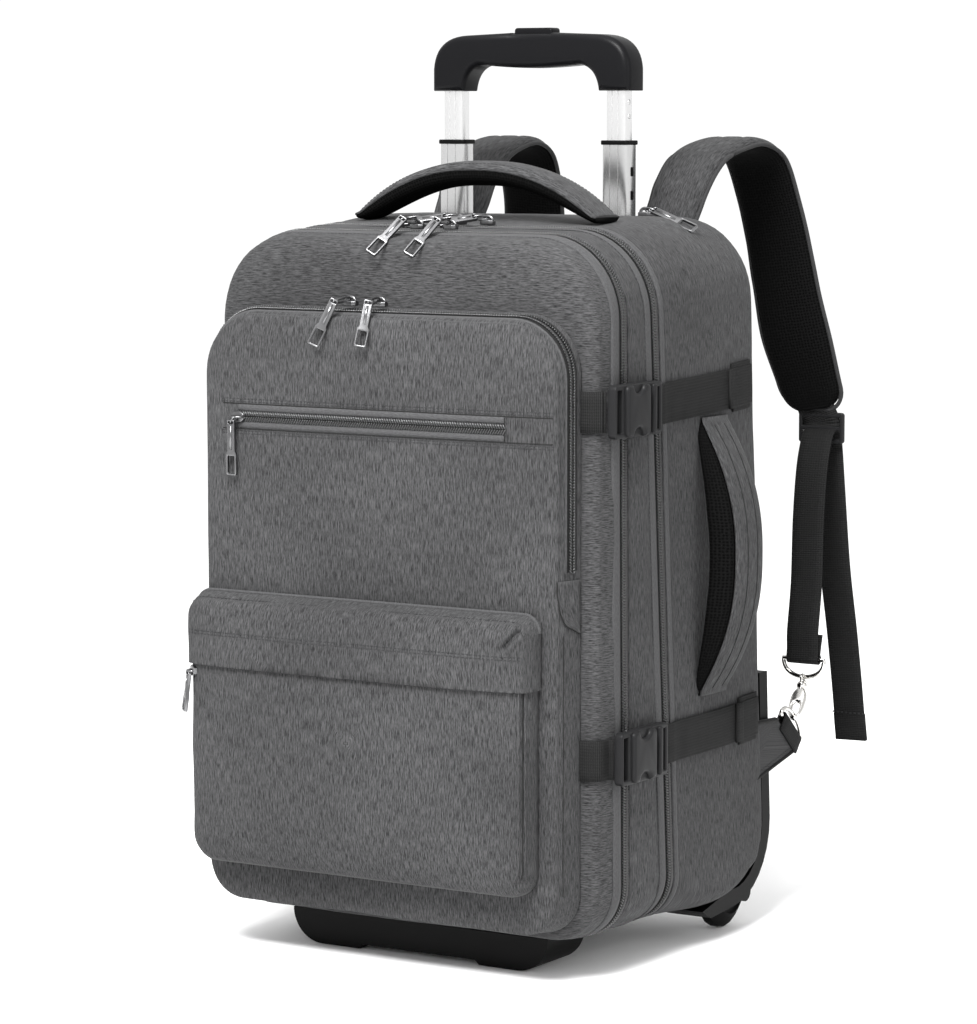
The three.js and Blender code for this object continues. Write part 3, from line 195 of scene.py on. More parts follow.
heather_along = heather("heather_along")
heather_across = heather("heather_across", across=True)
# The shoulder pads carry the same heather cloth, made darker all over as painted shade.
heather_strap_painted_shade = heather("heather_strap_painted_shade", across=True, painted_shade_level=0.78)

# Cut pieces of cloth. Each is a grid of rows of points in the bag's millimetres, with a UV map in
# metres, so that the yarn has its real size, and a thickness on its inner side.
CLOTH_THICK = 2.0


def sew(name, rows, material, closed=False, poles=(None, None), unroll=None, thick=CLOTH_THICK):
    """rows run from the front or the start of the piece. unroll gives a point's place on the cloth."""
    mesh = bmesh.new()
    uv_layer = mesh.loops.layers.uv.new("cloth")
    count = len(rows[0])
    verts = [[mesh.verts.new(at(*p)) for p in row] for row in rows]
    depth = [0.0]
    for before, row in zip(rows, rows[1:]):
        steps = [(Vector(a) - Vector(b)).length for a, b in zip(before, row)]
        depth.append(depth[-1] + sum(steps) / count)
    middle_row = rows[len(rows) // 2]
    run = [0.0]
    for k in range(count):
        run.append(run[-1] + (Vector(middle_row[(k + 1) % count]) - Vector(middle_row[k])).length)

    def place(i, k):
        if unroll:
            return Vector(unroll(rows[i][k % count], i, k)) / 1000
        return Vector((run[k], depth[i])) / 1000

    last = count if closed else count - 1
    for i in range(len(rows) - 1):
        for k in range(last):
            corners = [(i, k), (i, k + 1), (i + 1, k + 1), (i + 1, k)]
            face = mesh.faces.new([verts[a][b % count] for a, b in corners])
            for loop, corner in zip(face.loops, corners):
                loop[uv_layer].uv = place(*corner)
    for pole, i in zip(poles, (0, len(rows) - 1)):
        if pole is None:
            continue
        hub = mesh.verts.new(sum((v.co for v in verts[i]), Vector()) / count if pole == "middle" else at(*pole))
        for k in range(count):
            corners = [(i, k), (i, k + 1)]
            face = mesh.faces.new([verts[a][b % count] for a, b in corners] + [hub])
            for loop, corner in zip(face.loops, corners):
                loop[uv_layer].uv = place(*corner)
            hub_place = tuple(mm(hub.co))
            face.loops[2][uv_layer].uv = Vector(unroll(hub_place, i, k)) / 1000 if unroll else place(i, k)
    bmesh.ops.recalc_face_normals(mesh, faces=mesh.faces)
    data = bpy.data.meshes.new(name)
    mesh.to_mesh(data)
    mesh.free()
    data.shade_smooth()
    data.materials.append(material)
    piece = bpy.data.objects.new(name, data)
    bpy.context.collection.objects.link(piece)
    if thick:
        wall = piece.modifiers.new("thickness", "SOLIDIFY")
        wall.thickness = thick / 1000
        wall.offset = -1
    return piece


def fit(piece, slot, *nodes, body="bag"):
    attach(piece, body)
    if nodes:
        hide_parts(*nodes)
    return piece


def eased(p, amount=1.0, size=55.0, seed=0.0):
    """A point moved as soft cloth gives between its seams"""
    v = Vector(p)
    slow = noise.noise_vector(v / size + Vector((seed, 0, 0)))
    quick = noise.noise_vector(v / (size * 0.3) + Vector((0, seed, 0)))
    return tuple(v + slow * amount + quick * amount * 0.22)


# The bag's outline: a rectangle with round corners in every section from front to back. Each row
# says where it stands, in shares of the bag's depth, and how far it is in from the side, top and
# foot, in shares of the edge's rounding.
FRONT, DEPTH_TOP, DEPTH_FOOT = -118, 235, 264
FOOT, TOP, HALF = 31, 549, 168
TOP_CORNER, FOOT_CORNER, EDGE = 60, 41, 16
HEEL, HEEL_LIFT = 46, 9
CORNER_STEPS, ACROSS_STEPS, SIDE_STEPS = 12, 22, 38
ROWS = {
    "middle": (0, 0, 9.0, 14.0, 14.0, 0.3),
    "face": (0, 0, 3.25, 2.9, 2.75, 0.6),
    "face_edge": (0.006, 0.006, 0.55, 0.62, 0.5, 1),
    "rim": (0.05, 0.05, 0.1, 0.2, 0.12, 1),
    "front_zip_near": (0.11, 0.125, 0, 0.05, 0.06, 1),
    "front_zip_far": (0.166, 0.174, 0, 0, 0.06, 1),
    "gusset": (0.226, 0.28, -0.12, -0.1, 0, 1),
    "main_zip_near": (0.289, 0.386, 0, -0.12, 0.06, 1),
    "main_zip_far": (0.345, 0.436, 0, -0.19, 0.06, 0.95),
    "rear": (0.68, 0.697, -0.19, -0.56, 0.2, 0.34),
    "rear_edge": (0.932, 0.94, 0, -0.5, 0.95, 0.26),
    "back_turn": (0.98, 0.985, 0.3, -0.3, 1.45, 0.26),
    "back_edge": (1, 1, 1, 0.25, 2.2, 0.26),
}
ROW_NAMES = list(ROWS)


def blended(a, b, c, d, t):
    """A smooth run through b and c, with a and d as their neighbours"""
    left, right = (c - a) / 2, (d - b) / 2
    if (c - b) * left <= 0:
        left = 0
    if (c - b) * right <= 0:
        right = 0
    h = t * t * (3 - 2 * t)
    return b + (c - b) * h + left * (t ** 3 - 2 * t * t + t) + right * (t ** 3 - t * t)


def row_values(place):
    """The values between two rows. place is a row's number, with a share of the way to the next."""
    i = min(int(place), len(ROW_NAMES) - 2)
    picks = [ROWS[ROW_NAMES[min(max(j, 0), len(ROW_NAMES) - 1)]] for j in (i - 1, i, i + 1, i + 2)]
    return [blended(*(p[n] for p in picks), place - i) for n in range(6)]


def row_y(values, z, heel=1.0):
    share = (z - FOOT) / (TOP - FOOT)
    lean = FRONT + values[1] * DEPTH_FOOT * (1 - share) + values[0] * DEPTH_TOP * share
    dip = min(max((FOOT + HEEL_LIFT + HEEL - z) / HEEL, 0), 1) * heel
    return lean - HEEL * (1 - math.sqrt(1 - dip * dip))


def round_outline(half, foot, top, top_corner, foot_corner, centre=0.0):
    """(x, z, outward x, outward z) round a rectangle with round corners, from the right top corner"""
    points = []
    corners = [(1, 1, top_corner, 0), (-1, 1, top_corner, 1), (-1, -1, foot_corner, 2), (1, -1, foot_corner, 3)]
    straight = {0: ACROSS_STEPS, 1: SIDE_STEPS, 2: ACROSS_STEPS, 3: SIDE_STEPS}
    arcs = []
    for side, level, radius, quarter in corners:
        cx = side * (half - radius)
        cz = top - radius if level > 0 else foot + radius
        arc = []
        for k in range(CORNER_STEPS + 1):
            angle = (quarter + k / CORNER_STEPS) * math.pi / 2
            c, s = math.cos(angle), math.sin(angle)
            arc.append((centre + cx + radius * c, cz + radius * s, c, s))
        arcs.append(arc)
    for n, arc in enumerate(arcs):
        points += arc
        start, end = arc[-1], arcs[(n + 1) % 4][0]
        for k in range(1, straight[n]):
            t = k / straight[n]
            points.append(tuple(a + (b - a) * t for a, b in zip(start, end)))
    return points


def bag_row(place, out=0.0, shift=0.0):
    """The bag's section at a row, grown by out and moved back by shift, with its outward directions"""
    number = ROW_NAMES.index(place) if isinstance(place, str) else place
    values = row_values(number)
    heel = min(max(number - ROW_NAMES.index("rear"), 0), 1)
    corner = TOP_CORNER if number >= 1.9 else TOP_CORNER * (0.4 + 0.6 * max(number - 1, 0) / 0.9)
    shape = round_outline(
        HALF - values[2] * EDGE + out,
        FOOT + values[4] * EDGE - out,
        TOP - values[3] * EDGE + out,
        corner,
        FOOT_CORNER * values[5],
    )
    return [(x, row_y(values, z, heel) + shift, z) for x, z, _, _ in shape], [(c, s) for _, _, c, s in shape]


def bag_rows(start, stop, steps, out=0.0):
    first, last = (ROW_NAMES.index(n) if isinstance(n, str) else n for n in (start, stop))
    return [bag_row(first + (last - first) * k / steps, out)[0] for k in range(steps + 1)]


# Front compartment: a panel with softly rounded edges and a lining, cut with the yarn level. It
# reaches back to the first zip, where a flat strip of smooth cloth is sewn over its edge.
front_rows = [bag_row("middle")[0]] + bag_rows(0.35, "front_zip_near", 22)
front_rows += [bag_row("front_zip_near", -4)[0]]
front_outward = bag_row("rim")[1]


def over_the_edge(p, i, k):
    """Unrolls the front panel: what lies behind the face is laid out round it"""
    out = front_outward[k % len(front_outward)]
    reach = p[1] - FRONT
    return p[0] + out[0] * reach, p[2] + out[1] * reach


front_panel = sew(
    "front_panel",
    [[eased(p, 0.9 if i < len(front_rows) - 2 else 0.0) for p in row] for i, row in enumerate(front_rows)],
    heather_along,
    closed=True,
    poles=("middle", None),
    unroll=over_the_edge,
)
fit(front_panel, "grey_heather", "front_compartment")


# Flat binding strips of smooth, closely woven cloth, lighter than the heather. They are sewn along
# the edge of each panel beside its zip, with one row of dark stitches on their far edge.
def plain_weave(name, colour, rib=420.0):
    made, tree, shader = surface(name, 0.85, sheen=0.03)
    link = tree.links.new
    uv = node(tree, "ShaderNodeTexCoord")
    place = node(tree, "ShaderNodeMapping", Rotation=(0, 0, 0.6), Scale=(rib, rib * 2.4, 1))
    grain = node(tree, "ShaderNodeTexNoise", Scale=1.0, Detail=2.0, Roughness=0.6)
    shades = colour_band(
        tree, tuple(c * 0.78 for c in colour[:3]) + (1,), tuple(c * 1.2 for c in colour[:3]) + (1,), 0.35, 0.68
    )
    bump = node(tree, "ShaderNodeBump", Strength=0.2, Distance=0.0003)
    link(uv.outputs["UV"], place.inputs["Vector"])
    link(place.outputs[0], grain.inputs["Vector"])
    link(grain.outputs[0], shades.inputs[0])
    link(shades.outputs[0], shader.inputs["Base Color"])
    link(grain.outputs[0], bump.inputs["Height"])
    link(bump.outputs[0], shader.inputs["Normal"])
    return made


binding_cloth = plain_weave("binding_cloth", (0.043, 0.043, 0.0442, 1))
BINDING_WIDTH = 10.5


def beside(edge, inner, width, lift, steps=3, start=0.0):
    """Rows of a strip that starts on edge and reaches width towards inner, lifted off the cloth"""
    rows = []
    for j in range(steps + 1):
        row = []
        for (p, q, out) in zip(edge[0], inner[0], edge[1]):
            p, q = Vector(p), Vector(q)
            share = (start + (width - start) * j / steps) / max((q - p).length, 1e-6)
            crown = 0.5 * math.sin(math.pi * j / steps)
            row.append(tuple(p + (q - p) * share + Vector((out[0], 0, out[1])) * (lift + crown)))
        rows.append(row)
    return rows


for name, edge, inner, width in (
    ("front_zip_binding", "front_zip_near", "rim", BINDING_WIDTH),
    ("main_zip_front_binding", "main_zip_near", "gusset", BINDING_WIDTH),
    ("main_zip_rear_binding", "main_zip_far", "rear", 6.0),
):
    strip = sew(name, beside(bag_row(edge), bag_row(inner), width, 0.5), binding_cloth, closed=True, thick=1.2)
    fit(strip, "grey_heather")


# Repeated small parts, such as zip teeth and stitches, stand at even steps along a path. The path
# carries the direction that is outward at each of its points.
def small_part(name, length, width, height, slant=0.0, sides=6):
    """A six-sided grain, lying along X and turned by slant about Z"""
    mesh = bmesh.new()
    rings = []
    for share, size in ((-0.5, 0.0), (-0.34, 1.0), (0.34, 1.0), (0.5, 0.0)):
        if size == 0:
            rings.append([mesh.verts.new((share * length, 0, 0))])
            continue
        angles = [2 * math.pi * k / sides for k in range(sides)]
        rings.append(
            [mesh.verts.new((share * length, math.cos(a) * width / 2, math.sin(a) * height / 2)) for a in angles]
        )
    for a, b in zip(rings, rings[1:]):
        for k in range(sides):
            corners = [a[k % len(a)], b[k % len(b)], b[(k + 1) % len(b)], a[(k + 1) % len(a)]]
            mesh.faces.new(list(dict.fromkeys(corners)))
    bmesh.ops.recalc_face_normals(mesh, faces=mesh.faces)
    mesh.transform(Matrix.Scale(0.001, 4) @ Matrix.Rotation(slant, 4, "Z"))
    data = bpy.data.meshes.new(name)
    mesh.to_mesh(data)
    mesh.free()
    data.shade_smooth()
    return bpy.data.objects.new(name, data)


def row_tree(part, material):
    tree = bpy.data.node_groups.new("row_of_" + part.name, "GeometryNodeTree")
    tree.interface.new_socket("Path", in_out="INPUT", socket_type="NodeSocketGeometry")
    spacing = tree.interface.new_socket("Spacing", in_out="INPUT", socket_type="NodeSocketFloat")
    tree.interface.new_socket("Parts", in_out="OUTPUT", socket_type="NodeSocketGeometry")
    link = tree.links.new
    start = node(tree, "NodeGroupInput")
    end = node(tree, "NodeGroupOutput")
    curve = node(tree, "GeometryNodeMeshToCurve")
    even = node(tree, "GeometryNodeResampleCurve", mode="LENGTH")
    outward = node(tree, "GeometryNodeInputNamedAttribute", data_type="FLOAT_VECTOR", Name="outward")
    tangent = node(tree, "GeometryNodeInputTangent")
    stand = node(tree, "FunctionNodeAlignRotationToVector", axis="Z")
    face = node(tree, "FunctionNodeAlignRotationToVector", axis="X", pivot_axis="Z")
    shape = node(tree, "GeometryNodeObjectInfo", Object=part)
    place = node(tree, "GeometryNodeInstanceOnPoints")
    real = node(tree, "GeometryNodeRealizeInstances")
    paint = node(tree, "GeometryNodeSetMaterial", Material=material)
    link(start.outputs["Path"], curve.inputs["Mesh"])
    link(curve.outputs["Curve"], even.inputs["Curve"])
    link(start.outputs["Spacing"], even.inputs["Length"])
    link(even.outputs["Curve"], place.inputs["Points"])
    link(outward.outputs["Attribute"], stand.inputs["Vector"])
    link(stand.outputs["Rotation"], face.inputs["Rotation"])
    link(tangent.outputs["Tangent"], face.inputs["Vector"])
    link(face.outputs["Rotation"], place.inputs["Rotation"])
    link(shape.outputs["Geometry"], place.inputs["Instance"])
    link(place.outputs["Instances"], real.inputs["Geometry"])
    link(real.outputs["Geometry"], paint.inputs["Geometry"])
    link(paint.outputs["Geometry"], end.inputs["Parts"])
    return tree, spacing.identifier


def row_of(name, part, material, runs, spacing, closed=False):
    """Parts along one or more runs of (points, outward directions), in the bag's millimetres"""
    verts, edges, outward = [], [], []
    for points, outs in runs:
        first = len(verts)
        verts += [at(*p) for p in points]
        outward += [component for out in outs for component in out]
        edges += [(first + k, first + k + 1) for k in range(len(points) - 1)]
        if closed:
            edges.append((len(verts) - 1, first))
    data = bpy.data.meshes.new(name + "_path")
    data.from_pydata(verts, edges, [])
    data.attributes.new("outward", "FLOAT_VECTOR", "POINT").data.foreach_set("vector", outward)
    piece = bpy.data.objects.new(name, data)
    bpy.context.collection.objects.link(piece)
    tree, spacing_socket = row_tree(part, material)
    maker = piece.modifiers.new("row", "NODES")
    maker.node_group = tree
    maker[spacing_socket] = spacing / 1000
    bpy.context.view_layer.update()
    made = bpy.data.meshes.new_from_object(piece.evaluated_get(bpy.context.evaluated_depsgraph_get()))
    made.name = name
    piece.modifiers.remove(maker)
    piece.data = made
    return piece


# Zips: dark woven tape with a nylon coil on it, two rows of slanted turns that mesh in the middle.
# One closes the front compartment and one the main compartment, each all the way round the bag.
zip_tape = plain_weave("zip_tape", (0.006, 0.006, 0.006, 1), rib=900.0)
zip_nylon, _, zip_shader = surface("zip_nylon", 0.3, specular=0.7)
zip_shader.inputs["Base Color"].default_value = (0.016, 0.016, 0.0165, 1)
COIL_HALF, COIL_PITCH = 2.0, 2.1
coil_turn_left = small_part("coil_turn_left", 4.6, 1.1, 1.8, slant=math.radians(56))
coil_turn_right = small_part("coil_turn_right", 4.6, 1.1, 1.8, slant=math.radians(-56))


def unit(v):
    return Vector(v).normalized()


def shifted(points, ways, amount):
    return [tuple(Vector(p) + Vector(w) * amount) for p, w in zip(points, ways)]


def zip_along(name, near, far, outs, closed, slot, *nodes, lift=0.0):
    """A zip between two edges. near and far are matching points, and outs its outward directions."""
    ways = [unit(Vector(q) - Vector(p)) for p, q in zip(near, far)]
    middle = [tuple((Vector(p) + Vector(q)) / 2 + Vector(o) * (0.3 + lift)) for p, q, o in zip(near, far, outs)]
    tape_rows = []
    for share, height in ((0.0, -1.2), (0.06, -0.5), (0.5, -0.2), (0.94, -0.5), (1.0, -1.2)):
        tape_rows.append(
            [tuple(Vector(p).lerp(Vector(q), share) + Vector(o) * (height + lift)) for p, q, o in zip(near, far, outs)]
        )
    tape = sew(name + "_tape", tape_rows, zip_tape, closed=closed, thick=0.8)
    fit(tape, slot, *nodes)
    for side, part in ((-1, coil_turn_left), (1, coil_turn_right)):
        run = shifted(middle, ways, side * COIL_HALF)
        coil = row_of(f"{name}_coil_{'near' if side < 0 else 'far'}", part, zip_nylon, [(run, outs)], COIL_PITCH, closed)
        fit(coil, slot)


def flat_outs(pairs):
    return [(x, 0.0, z) for x, z in pairs]


for name, near, far, cad_zip in (
    ("front_zip", "front_zip_near", "front_zip_far", "zip_front"),
    ("main_zip", "main_zip_near", "main_zip_far", "zip_main"),
):
    (near_row, outward), (far_row, _) = bag_row(near), bag_row(far)
    zip_along(name, near_row, far_row, flat_outs(outward), True, "zip_coil", cad_zip)

# Stitches: pairs of rows of dark polyester thread, sunk a little between the yarns.
thread, _, thread_shader = surface("thread", 0.7)
thread_shader.inputs["Base Color"].default_value = (0.022, 0.022, 0.023, 1)
STITCH_PITCH = 3.4
stitch = small_part("stitch", 2.5, 0.6, 0.5)


def stitches(name, *runs, closed=False, slot="grey_heather", body="bag"):
    return fit(row_of(name, stitch, thread, list(runs), STITCH_PITCH, closed), slot, body=body)


def strip_edge_run(edge, inner, width):
    row = beside(bag_row(edge), bag_row(inner), width, 0.45, steps=1, start=width)[0]
    return row, flat_outs(bag_row(edge)[1])


stitches("front_binding_stitches", strip_edge_run("front_zip_near", "rim", BINDING_WIDTH + 0.4), closed=True)
stitches("main_binding_stitches", strip_edge_run("main_zip_near", "gusset", BINDING_WIDTH + 0.4), closed=True)

# Middle gusset: the band of heather cloth between the two zips, its yarn running round the bag.
gusset_rows = [bag_row("front_zip_far", -4)[0]] + bag_rows("front_zip_far", "main_zip_near", 9)
gusset_rows += [bag_row("main_zip_near", -4)[0]]
gusset_panel = sew(
    "gusset_panel",
    [[eased(p, 0.7 if 1 < i < 9 else 0.0, 48, 3) for p in row] for i, row in enumerate(gusset_rows)],
    heather_along,
    closed=True,
)
fit(gusset_panel, "grey_heather", "middle_gusset")


# Rear compartment: one deep band of heather cloth and a plain back, stiff enough to hold its shape.
# Its foot rests in the moulded heel, which leaves a bay for each wheel, and the tubes come out of
# two slots in its top.
def cut_out(piece, cutters):
    """Cuts solid blocks out of a piece's cloth and keeps the plain result"""
    for cutter in cutters:
        knife = piece.modifiers.new("cut", "BOOLEAN")
        knife.operation = "DIFFERENCE"
        knife.solver = "EXACT"
        knife.object = cutter
    bpy.context.view_layer.update()
    made = bpy.data.meshes.new_from_object(piece.evaluated_get(bpy.context.evaluated_depsgraph_get()))
    piece.modifiers.clear()
    piece.data = made
    made.shade_smooth()
    for cutter in cutters:
        bpy.data.objects.remove(cutter)


def block(x0, x1, y0, y1, z0, z1):
    mesh = bmesh.new()
    bmesh.ops.create_cube(mesh, size=1)
    lo, hi = at(x0, y0, z0), at(x1, y1, z1)
    mesh.transform(Matrix.Translation((lo + hi) / 2) @ Matrix.Diagonal((*(hi - lo), 1)))
    data = bpy.data.meshes.new("block")
    mesh.to_mesh(data)
    mesh.free()
    made = bpy.data.objects.new("block", data)
    bpy.context.collection.objects.link(made)
    return made


TUBE_X, TUBE_Y = 73.5, 72
WHEEL_X, WHEEL_Y, WHEEL_Z, WELL_RADIUS, WELL_HALF = 140, 118, 34, 37.8, 16.2


def wheel_bay(sign):
    made = block(sign * WHEEL_X - WELL_HALF, sign * WHEEL_X + WELL_HALF, 80, 156, -20, WHEEL_Z)
    mesh = bmesh.new()
    mesh.from_mesh(made.data)
    turned = Matrix.Translation(at(sign * WHEEL_X, WHEEL_Y, WHEEL_Z)) @ Matrix.Rotation(math.pi / 2, 4, "Y")
    bmesh.ops.create_cone(
        mesh, cap_ends=True, segments=40, radius1=WELL_RADIUS / 1000, radius2=WELL_RADIUS / 1000,
        depth=2 * WELL_HALF / 1000, matrix=turned,
    )
    mesh.to_mesh(made.data)
    mesh.free()
    return made


rear_rows = [bag_row("main_zip_far", -4)[0]] + bag_rows("main_zip_far", "back_edge", 26)
last_outline = rear_rows[-1]
for share in (0.8, 0.5, 0.2):
    rear_rows.append([tuple(Vector((0, 116 - 0.02 * (p[2] - 290), 290)).lerp(Vector(p), share)) for p in last_outline])
for i in (-3, -2, -1):
    rear_rows[i] = [(x, row_y(row_values(12), z), z) for x, _, z in rear_rows[i]]
rear_shell = sew(
    "rear_shell",
    [[eased(p, 1.0 if 1 < i < 24 else 0.0, 60, 7) for p in row] for i, row in enumerate(rear_rows)],
    heather_along,
    closed=True,
    poles=(None, "middle"),
)
cut_out(
    rear_shell,
    [block(s * TUBE_X - 13.7, s * TUBE_X + 13.7, TUBE_Y - 10.2, TUBE_Y + 10.2, 530, 600) for s in (1, -1)]
    + [wheel_bay(1), wheel_bay(-1)],
)
fit(rear_shell, "grey_heather", "rear_compartment")

# Organizer: a shallow box of cloth on the bag's front, its yarn running upward. A zip runs round it
# from the lower left side over the top and down to the upper part of the right side.
ORGANIZER_BASE, ORGANIZER_DEPTH, ORGANIZER_CENTRE, ORGANIZER_HALF = -118.4, 29, -6, 159
ORGANIZER_TOP, ORGANIZER_FOOT = 493, 40.5
ORGANIZER_ROWS = (
    (1.0, 0.2, 0.68, 5.6, 0.0),
    (1.0, 0.65, 0.89, 2.3, 0.5),
    (0.92, 0.935, 0.976, 1.18, 0.9),
    (0.75, 0.974, 0.988, 1.06, 1.0),
    (0.58, 0.984, 0.992, 1.04, 1.0),
    (0.14, 0.997, 0.998, 1.01, 1.0),
    (0.0, 1.0, 1.0, 1.0, 1.0),
)
ZIP_NEAR, ZIP_FAR, ORGANIZER_LAST = 4, 5, 6


def table_values(table, place, width):
    i = min(int(place), len(table) - 2)
    picks = [table[min(max(j, 0), len(table) - 1)] for j in (i - 1, i, i + 1, i + 2)]
    return [blended(*(p[n] for p in picks), place - i) for n in range(width)]


def organizer_row(place, lift=0.0):
    out, half, top, foot, round_share = table_values(ORGANIZER_ROWS, place, 5)
    shape = round_outline(
        half * ORGANIZER_HALF + lift,
        foot * ORGANIZER_FOOT - lift,
        top * ORGANIZER_TOP + lift,
        44 * (0.5 + 0.5 * round_share),
        31 * (0.5 + 0.5 * round_share),
        ORGANIZER_CENTRE,
    )
    y = ORGANIZER_BASE - out * ORGANIZER_DEPTH
    wrap = 0.06 * max(1 - out * 1.6, 0)
    return [(x, y + wrap * max(abs(x) - 157, 0) ** 2, z) for x, z, _, _ in shape], [(c, s) for _, _, c, s in shape]


organizer_outward = organizer_row(ORGANIZER_LAST)[1]


def over_the_organizer(p, i, k):
    out = organizer_outward[k % len(organizer_outward)]
    reach = p[1] - (ORGANIZER_BASE - ORGANIZER_DEPTH)
    return p[0] + out[0] * reach, p[2] + out[1] * reach


organizer_places = [0, 0.25, 0.5, 0.75, 1, 1.15, 1.3, 1.45, 1.6, 1.75, 1.9, 2, 2.15, 2.3, 2.5, 2.7, 2.85, 3, 3.3, 3.6, 4]
organizer_places += [4.3, 4.7, 5, 5.5, 6]
organizer_shell = sew(
    "organizer_shell",
    [[eased(p, 0.8 if place < 3 else 0.0, 50, 11) for p in organizer_row(place)[0]] for place in organizer_places],
    heather_across,
    closed=True,
    poles=("middle", None),
    unroll=over_the_organizer,
)
fit(organizer_shell, "grey_heather", "organizer")


# The zip, its tape and the binding end where the CAD's zip does: at the left low, at the right high.
def part_of(row, outward, keep):
    """The run of a closed row whose points are kept, from its first kept point after a gap"""
    count = len(row)
    flags = [keep(row[k]) for k in range(count)]
    first = next(k for k in range(count) if flags[k] and not flags[k - 1])
    picked = []
    for k in range(count):
        if not flags[(first + k) % count]:
            break
        picked.append((first + k) % count)
    return [row[k] for k in picked], [outward[k] for k in picked]


RIGHT_END, LEFT_END = 302, 88


def on_the_zip(p):
    return p[2] > (RIGHT_END if p[0] > 0 else LEFT_END)


near_row, near_out = part_of(*organizer_row(ZIP_NEAR, 0.6), on_the_zip)
far_row, _ = part_of(*organizer_row(ZIP_FAR, 0.6), on_the_zip)
zip_along("organizer_zip", near_row, far_row, flat_outs(near_out), False, "zip_coil", "zip_organizer")

edge_row, edge_out = part_of(*organizer_row(ZIP_NEAR, 0.5), on_the_zip)
rim_row, _ = part_of(*organizer_row(1.6, 0.5), on_the_zip)
bound = beside((edge_row, edge_out), (rim_row, edge_out), 9.5, 0.4)
fit(sew("organizer_binding", bound, binding_cloth, thick=1.0), "grey_heather")


def cloth_tree(piece):
    data = piece.data
    return BVHTree.FromPolygons([v.co for v in data.vertices], [list(f.vertices) for f in data.polygons])


def laid(tree, points, way, lift=0.3):
    """Lays points on a piece of cloth, along way, and gives their outward directions"""
    way = Vector(way).normalized()
    placed, outs = [], []
    for p in points:
        hit, normal, _, _ = tree.ray_cast(at(*p) - way * 0.3, way)
        if hit is None:
            continue
        normal = -normal if normal.dot(way) > 0 else normal
        placed.append(tuple(mm(hit) + normal * lift))
        outs.append(tuple(normal))
    return placed, outs


def line(a, b, steps):
    return [tuple(Vector(a).lerp(Vector(b), k / steps)) for k in range(steps + 1)]


def smooth_path(points, steps):
    """A smooth curve through points, with steps between each pair"""
    result = []
    for i in range(len(points) - 1):
        a, b, c, d = (Vector(points[min(max(j, 0), len(points) - 1)]) for j in (i - 1, i, i + 1, i + 2))
        for k in range(steps):
            t = k / steps
            result.append(
                0.5 * (2 * b + (c - a) * t + (2 * a - 5 * b + 4 * c - d) * t * t + (3 * b - a - 3 * c + d) * t ** 3)
            )
    return [tuple(p) for p in result] + [tuple(points[-1])]


def sweep(name, path, across, profile, material, closed=False, smooth=True):
    """A solid run along path. profile gives the section at a share of it, as (across, outward) points."""
    count = len(path)
    verts, lengths = [], [0.0]
    for k in range(count):
        before, after = Vector(path[max(k - 1, 0)]), Vector(path[min(k + 1, count - 1)])
        if closed:
            before, after = Vector(path[k - 1]), Vector(path[(k + 1) % count])
        ahead = (after - before).normalized()
        side = Vector(across[k] if isinstance(across, list) else across)
        side = (side - ahead * side.dot(ahead)).normalized()
        out = side.cross(ahead)
        ring = [Vector(path[k]) + side * u + out * v for u, v in profile(k / (count - 1))]
        verts.append(ring)
        if k:
            lengths.append(lengths[-1] + (Vector(path[k]) - Vector(path[k - 1])).length)
    section = profile(0.5)
    round_it = [0.0]
    for k in range(len(section)):
        step = Vector(section[(k + 1) % len(section)]) - Vector(section[k])
        round_it.append(round_it[-1] + step.length)
    mesh = bmesh.new()
    uv_layer = mesh.loops.layers.uv.new("cloth")
    rings = [[mesh.verts.new(at(*p)) for p in ring] for ring in verts]
    sides = len(section)
    for i in range(count if closed else count - 1):
        for k in range(sides):
            corners = [(i, k), (i, k + 1), (i + 1, k + 1), (i + 1, k)]
            face = mesh.faces.new([rings[a % count][b % sides] for a, b in corners])
            for loop, (a, b) in zip(face.loops, corners):
                run = lengths[a] if a < count else lengths[-1] + (lengths[-1] - lengths[-2])
                loop[uv_layer].uv = (round_it[b] / 1000, run / 1000)
    if not closed:
        for ring, run in ((rings[0], 0), (rings[-1], lengths[-1])):
            face = mesh.faces.new(ring)
            for loop in face.loops:
                loop[uv_layer].uv = (0, run / 1000)
    bmesh.ops.recalc_face_normals(mesh, faces=mesh.faces)
    data = bpy.data.meshes.new(name)
    mesh.to_mesh(data)
    mesh.free()
    if smooth:
        data.shade_smooth()
    data.materials.append(material)
    piece = bpy.data.objects.new(name, data)
    bpy.context.collection.objects.link(piece)
    return piece


def circle(radius, sides=10, flat=1.0):
    angles = [2 * math.pi * k / sides for k in range(sides)]
    return [(radius * math.cos(a), radius * flat * math.sin(a)) for a in angles]


def cord_along(name, path, radius, material, slot, closed=False, body="bag", across=(0.31, 0.17, 0.93)):
    piece = sweep(name, path, across, lambda t: circle(radius, 8), material, closed=closed)
    return fit(piece, slot, body=body)


def creased(piece, lines, depth, width):
    """Presses creases into a piece of cloth along lines, with the cloth raised beside them"""
    data = piece.data
    normals = [Vector(v.normal) for v in data.vertices]
    segments = [(at(*a), at(*b)) for run in lines for a, b in zip(run, run[1:])]
    for v, normal in zip(data.vertices, normals):
        near = 1.0
        for a, b in segments:
            share = min(max((v.co - a).dot(b - a) / max((b - a).length_squared, 1e-12), 0), 1)
            near = min(near, (v.co - a.lerp(b, share)).length)
        x = near * 1000 / width
        if x < 4:
            v.co -= normal * (math.exp(-x * x) - 0.3 * math.exp(-((x - 1.9) ** 2))) * depth / 1000


# The near-black seam material is painted shadow: its cords stand for the shade in the grooves of seams.
seam_shadow, _, seam_shadow_shader = surface("seam", 0.9)
seam_shadow_shader.inputs["Base Color"].default_value = (0.012, 0.012, 0.012, 1)


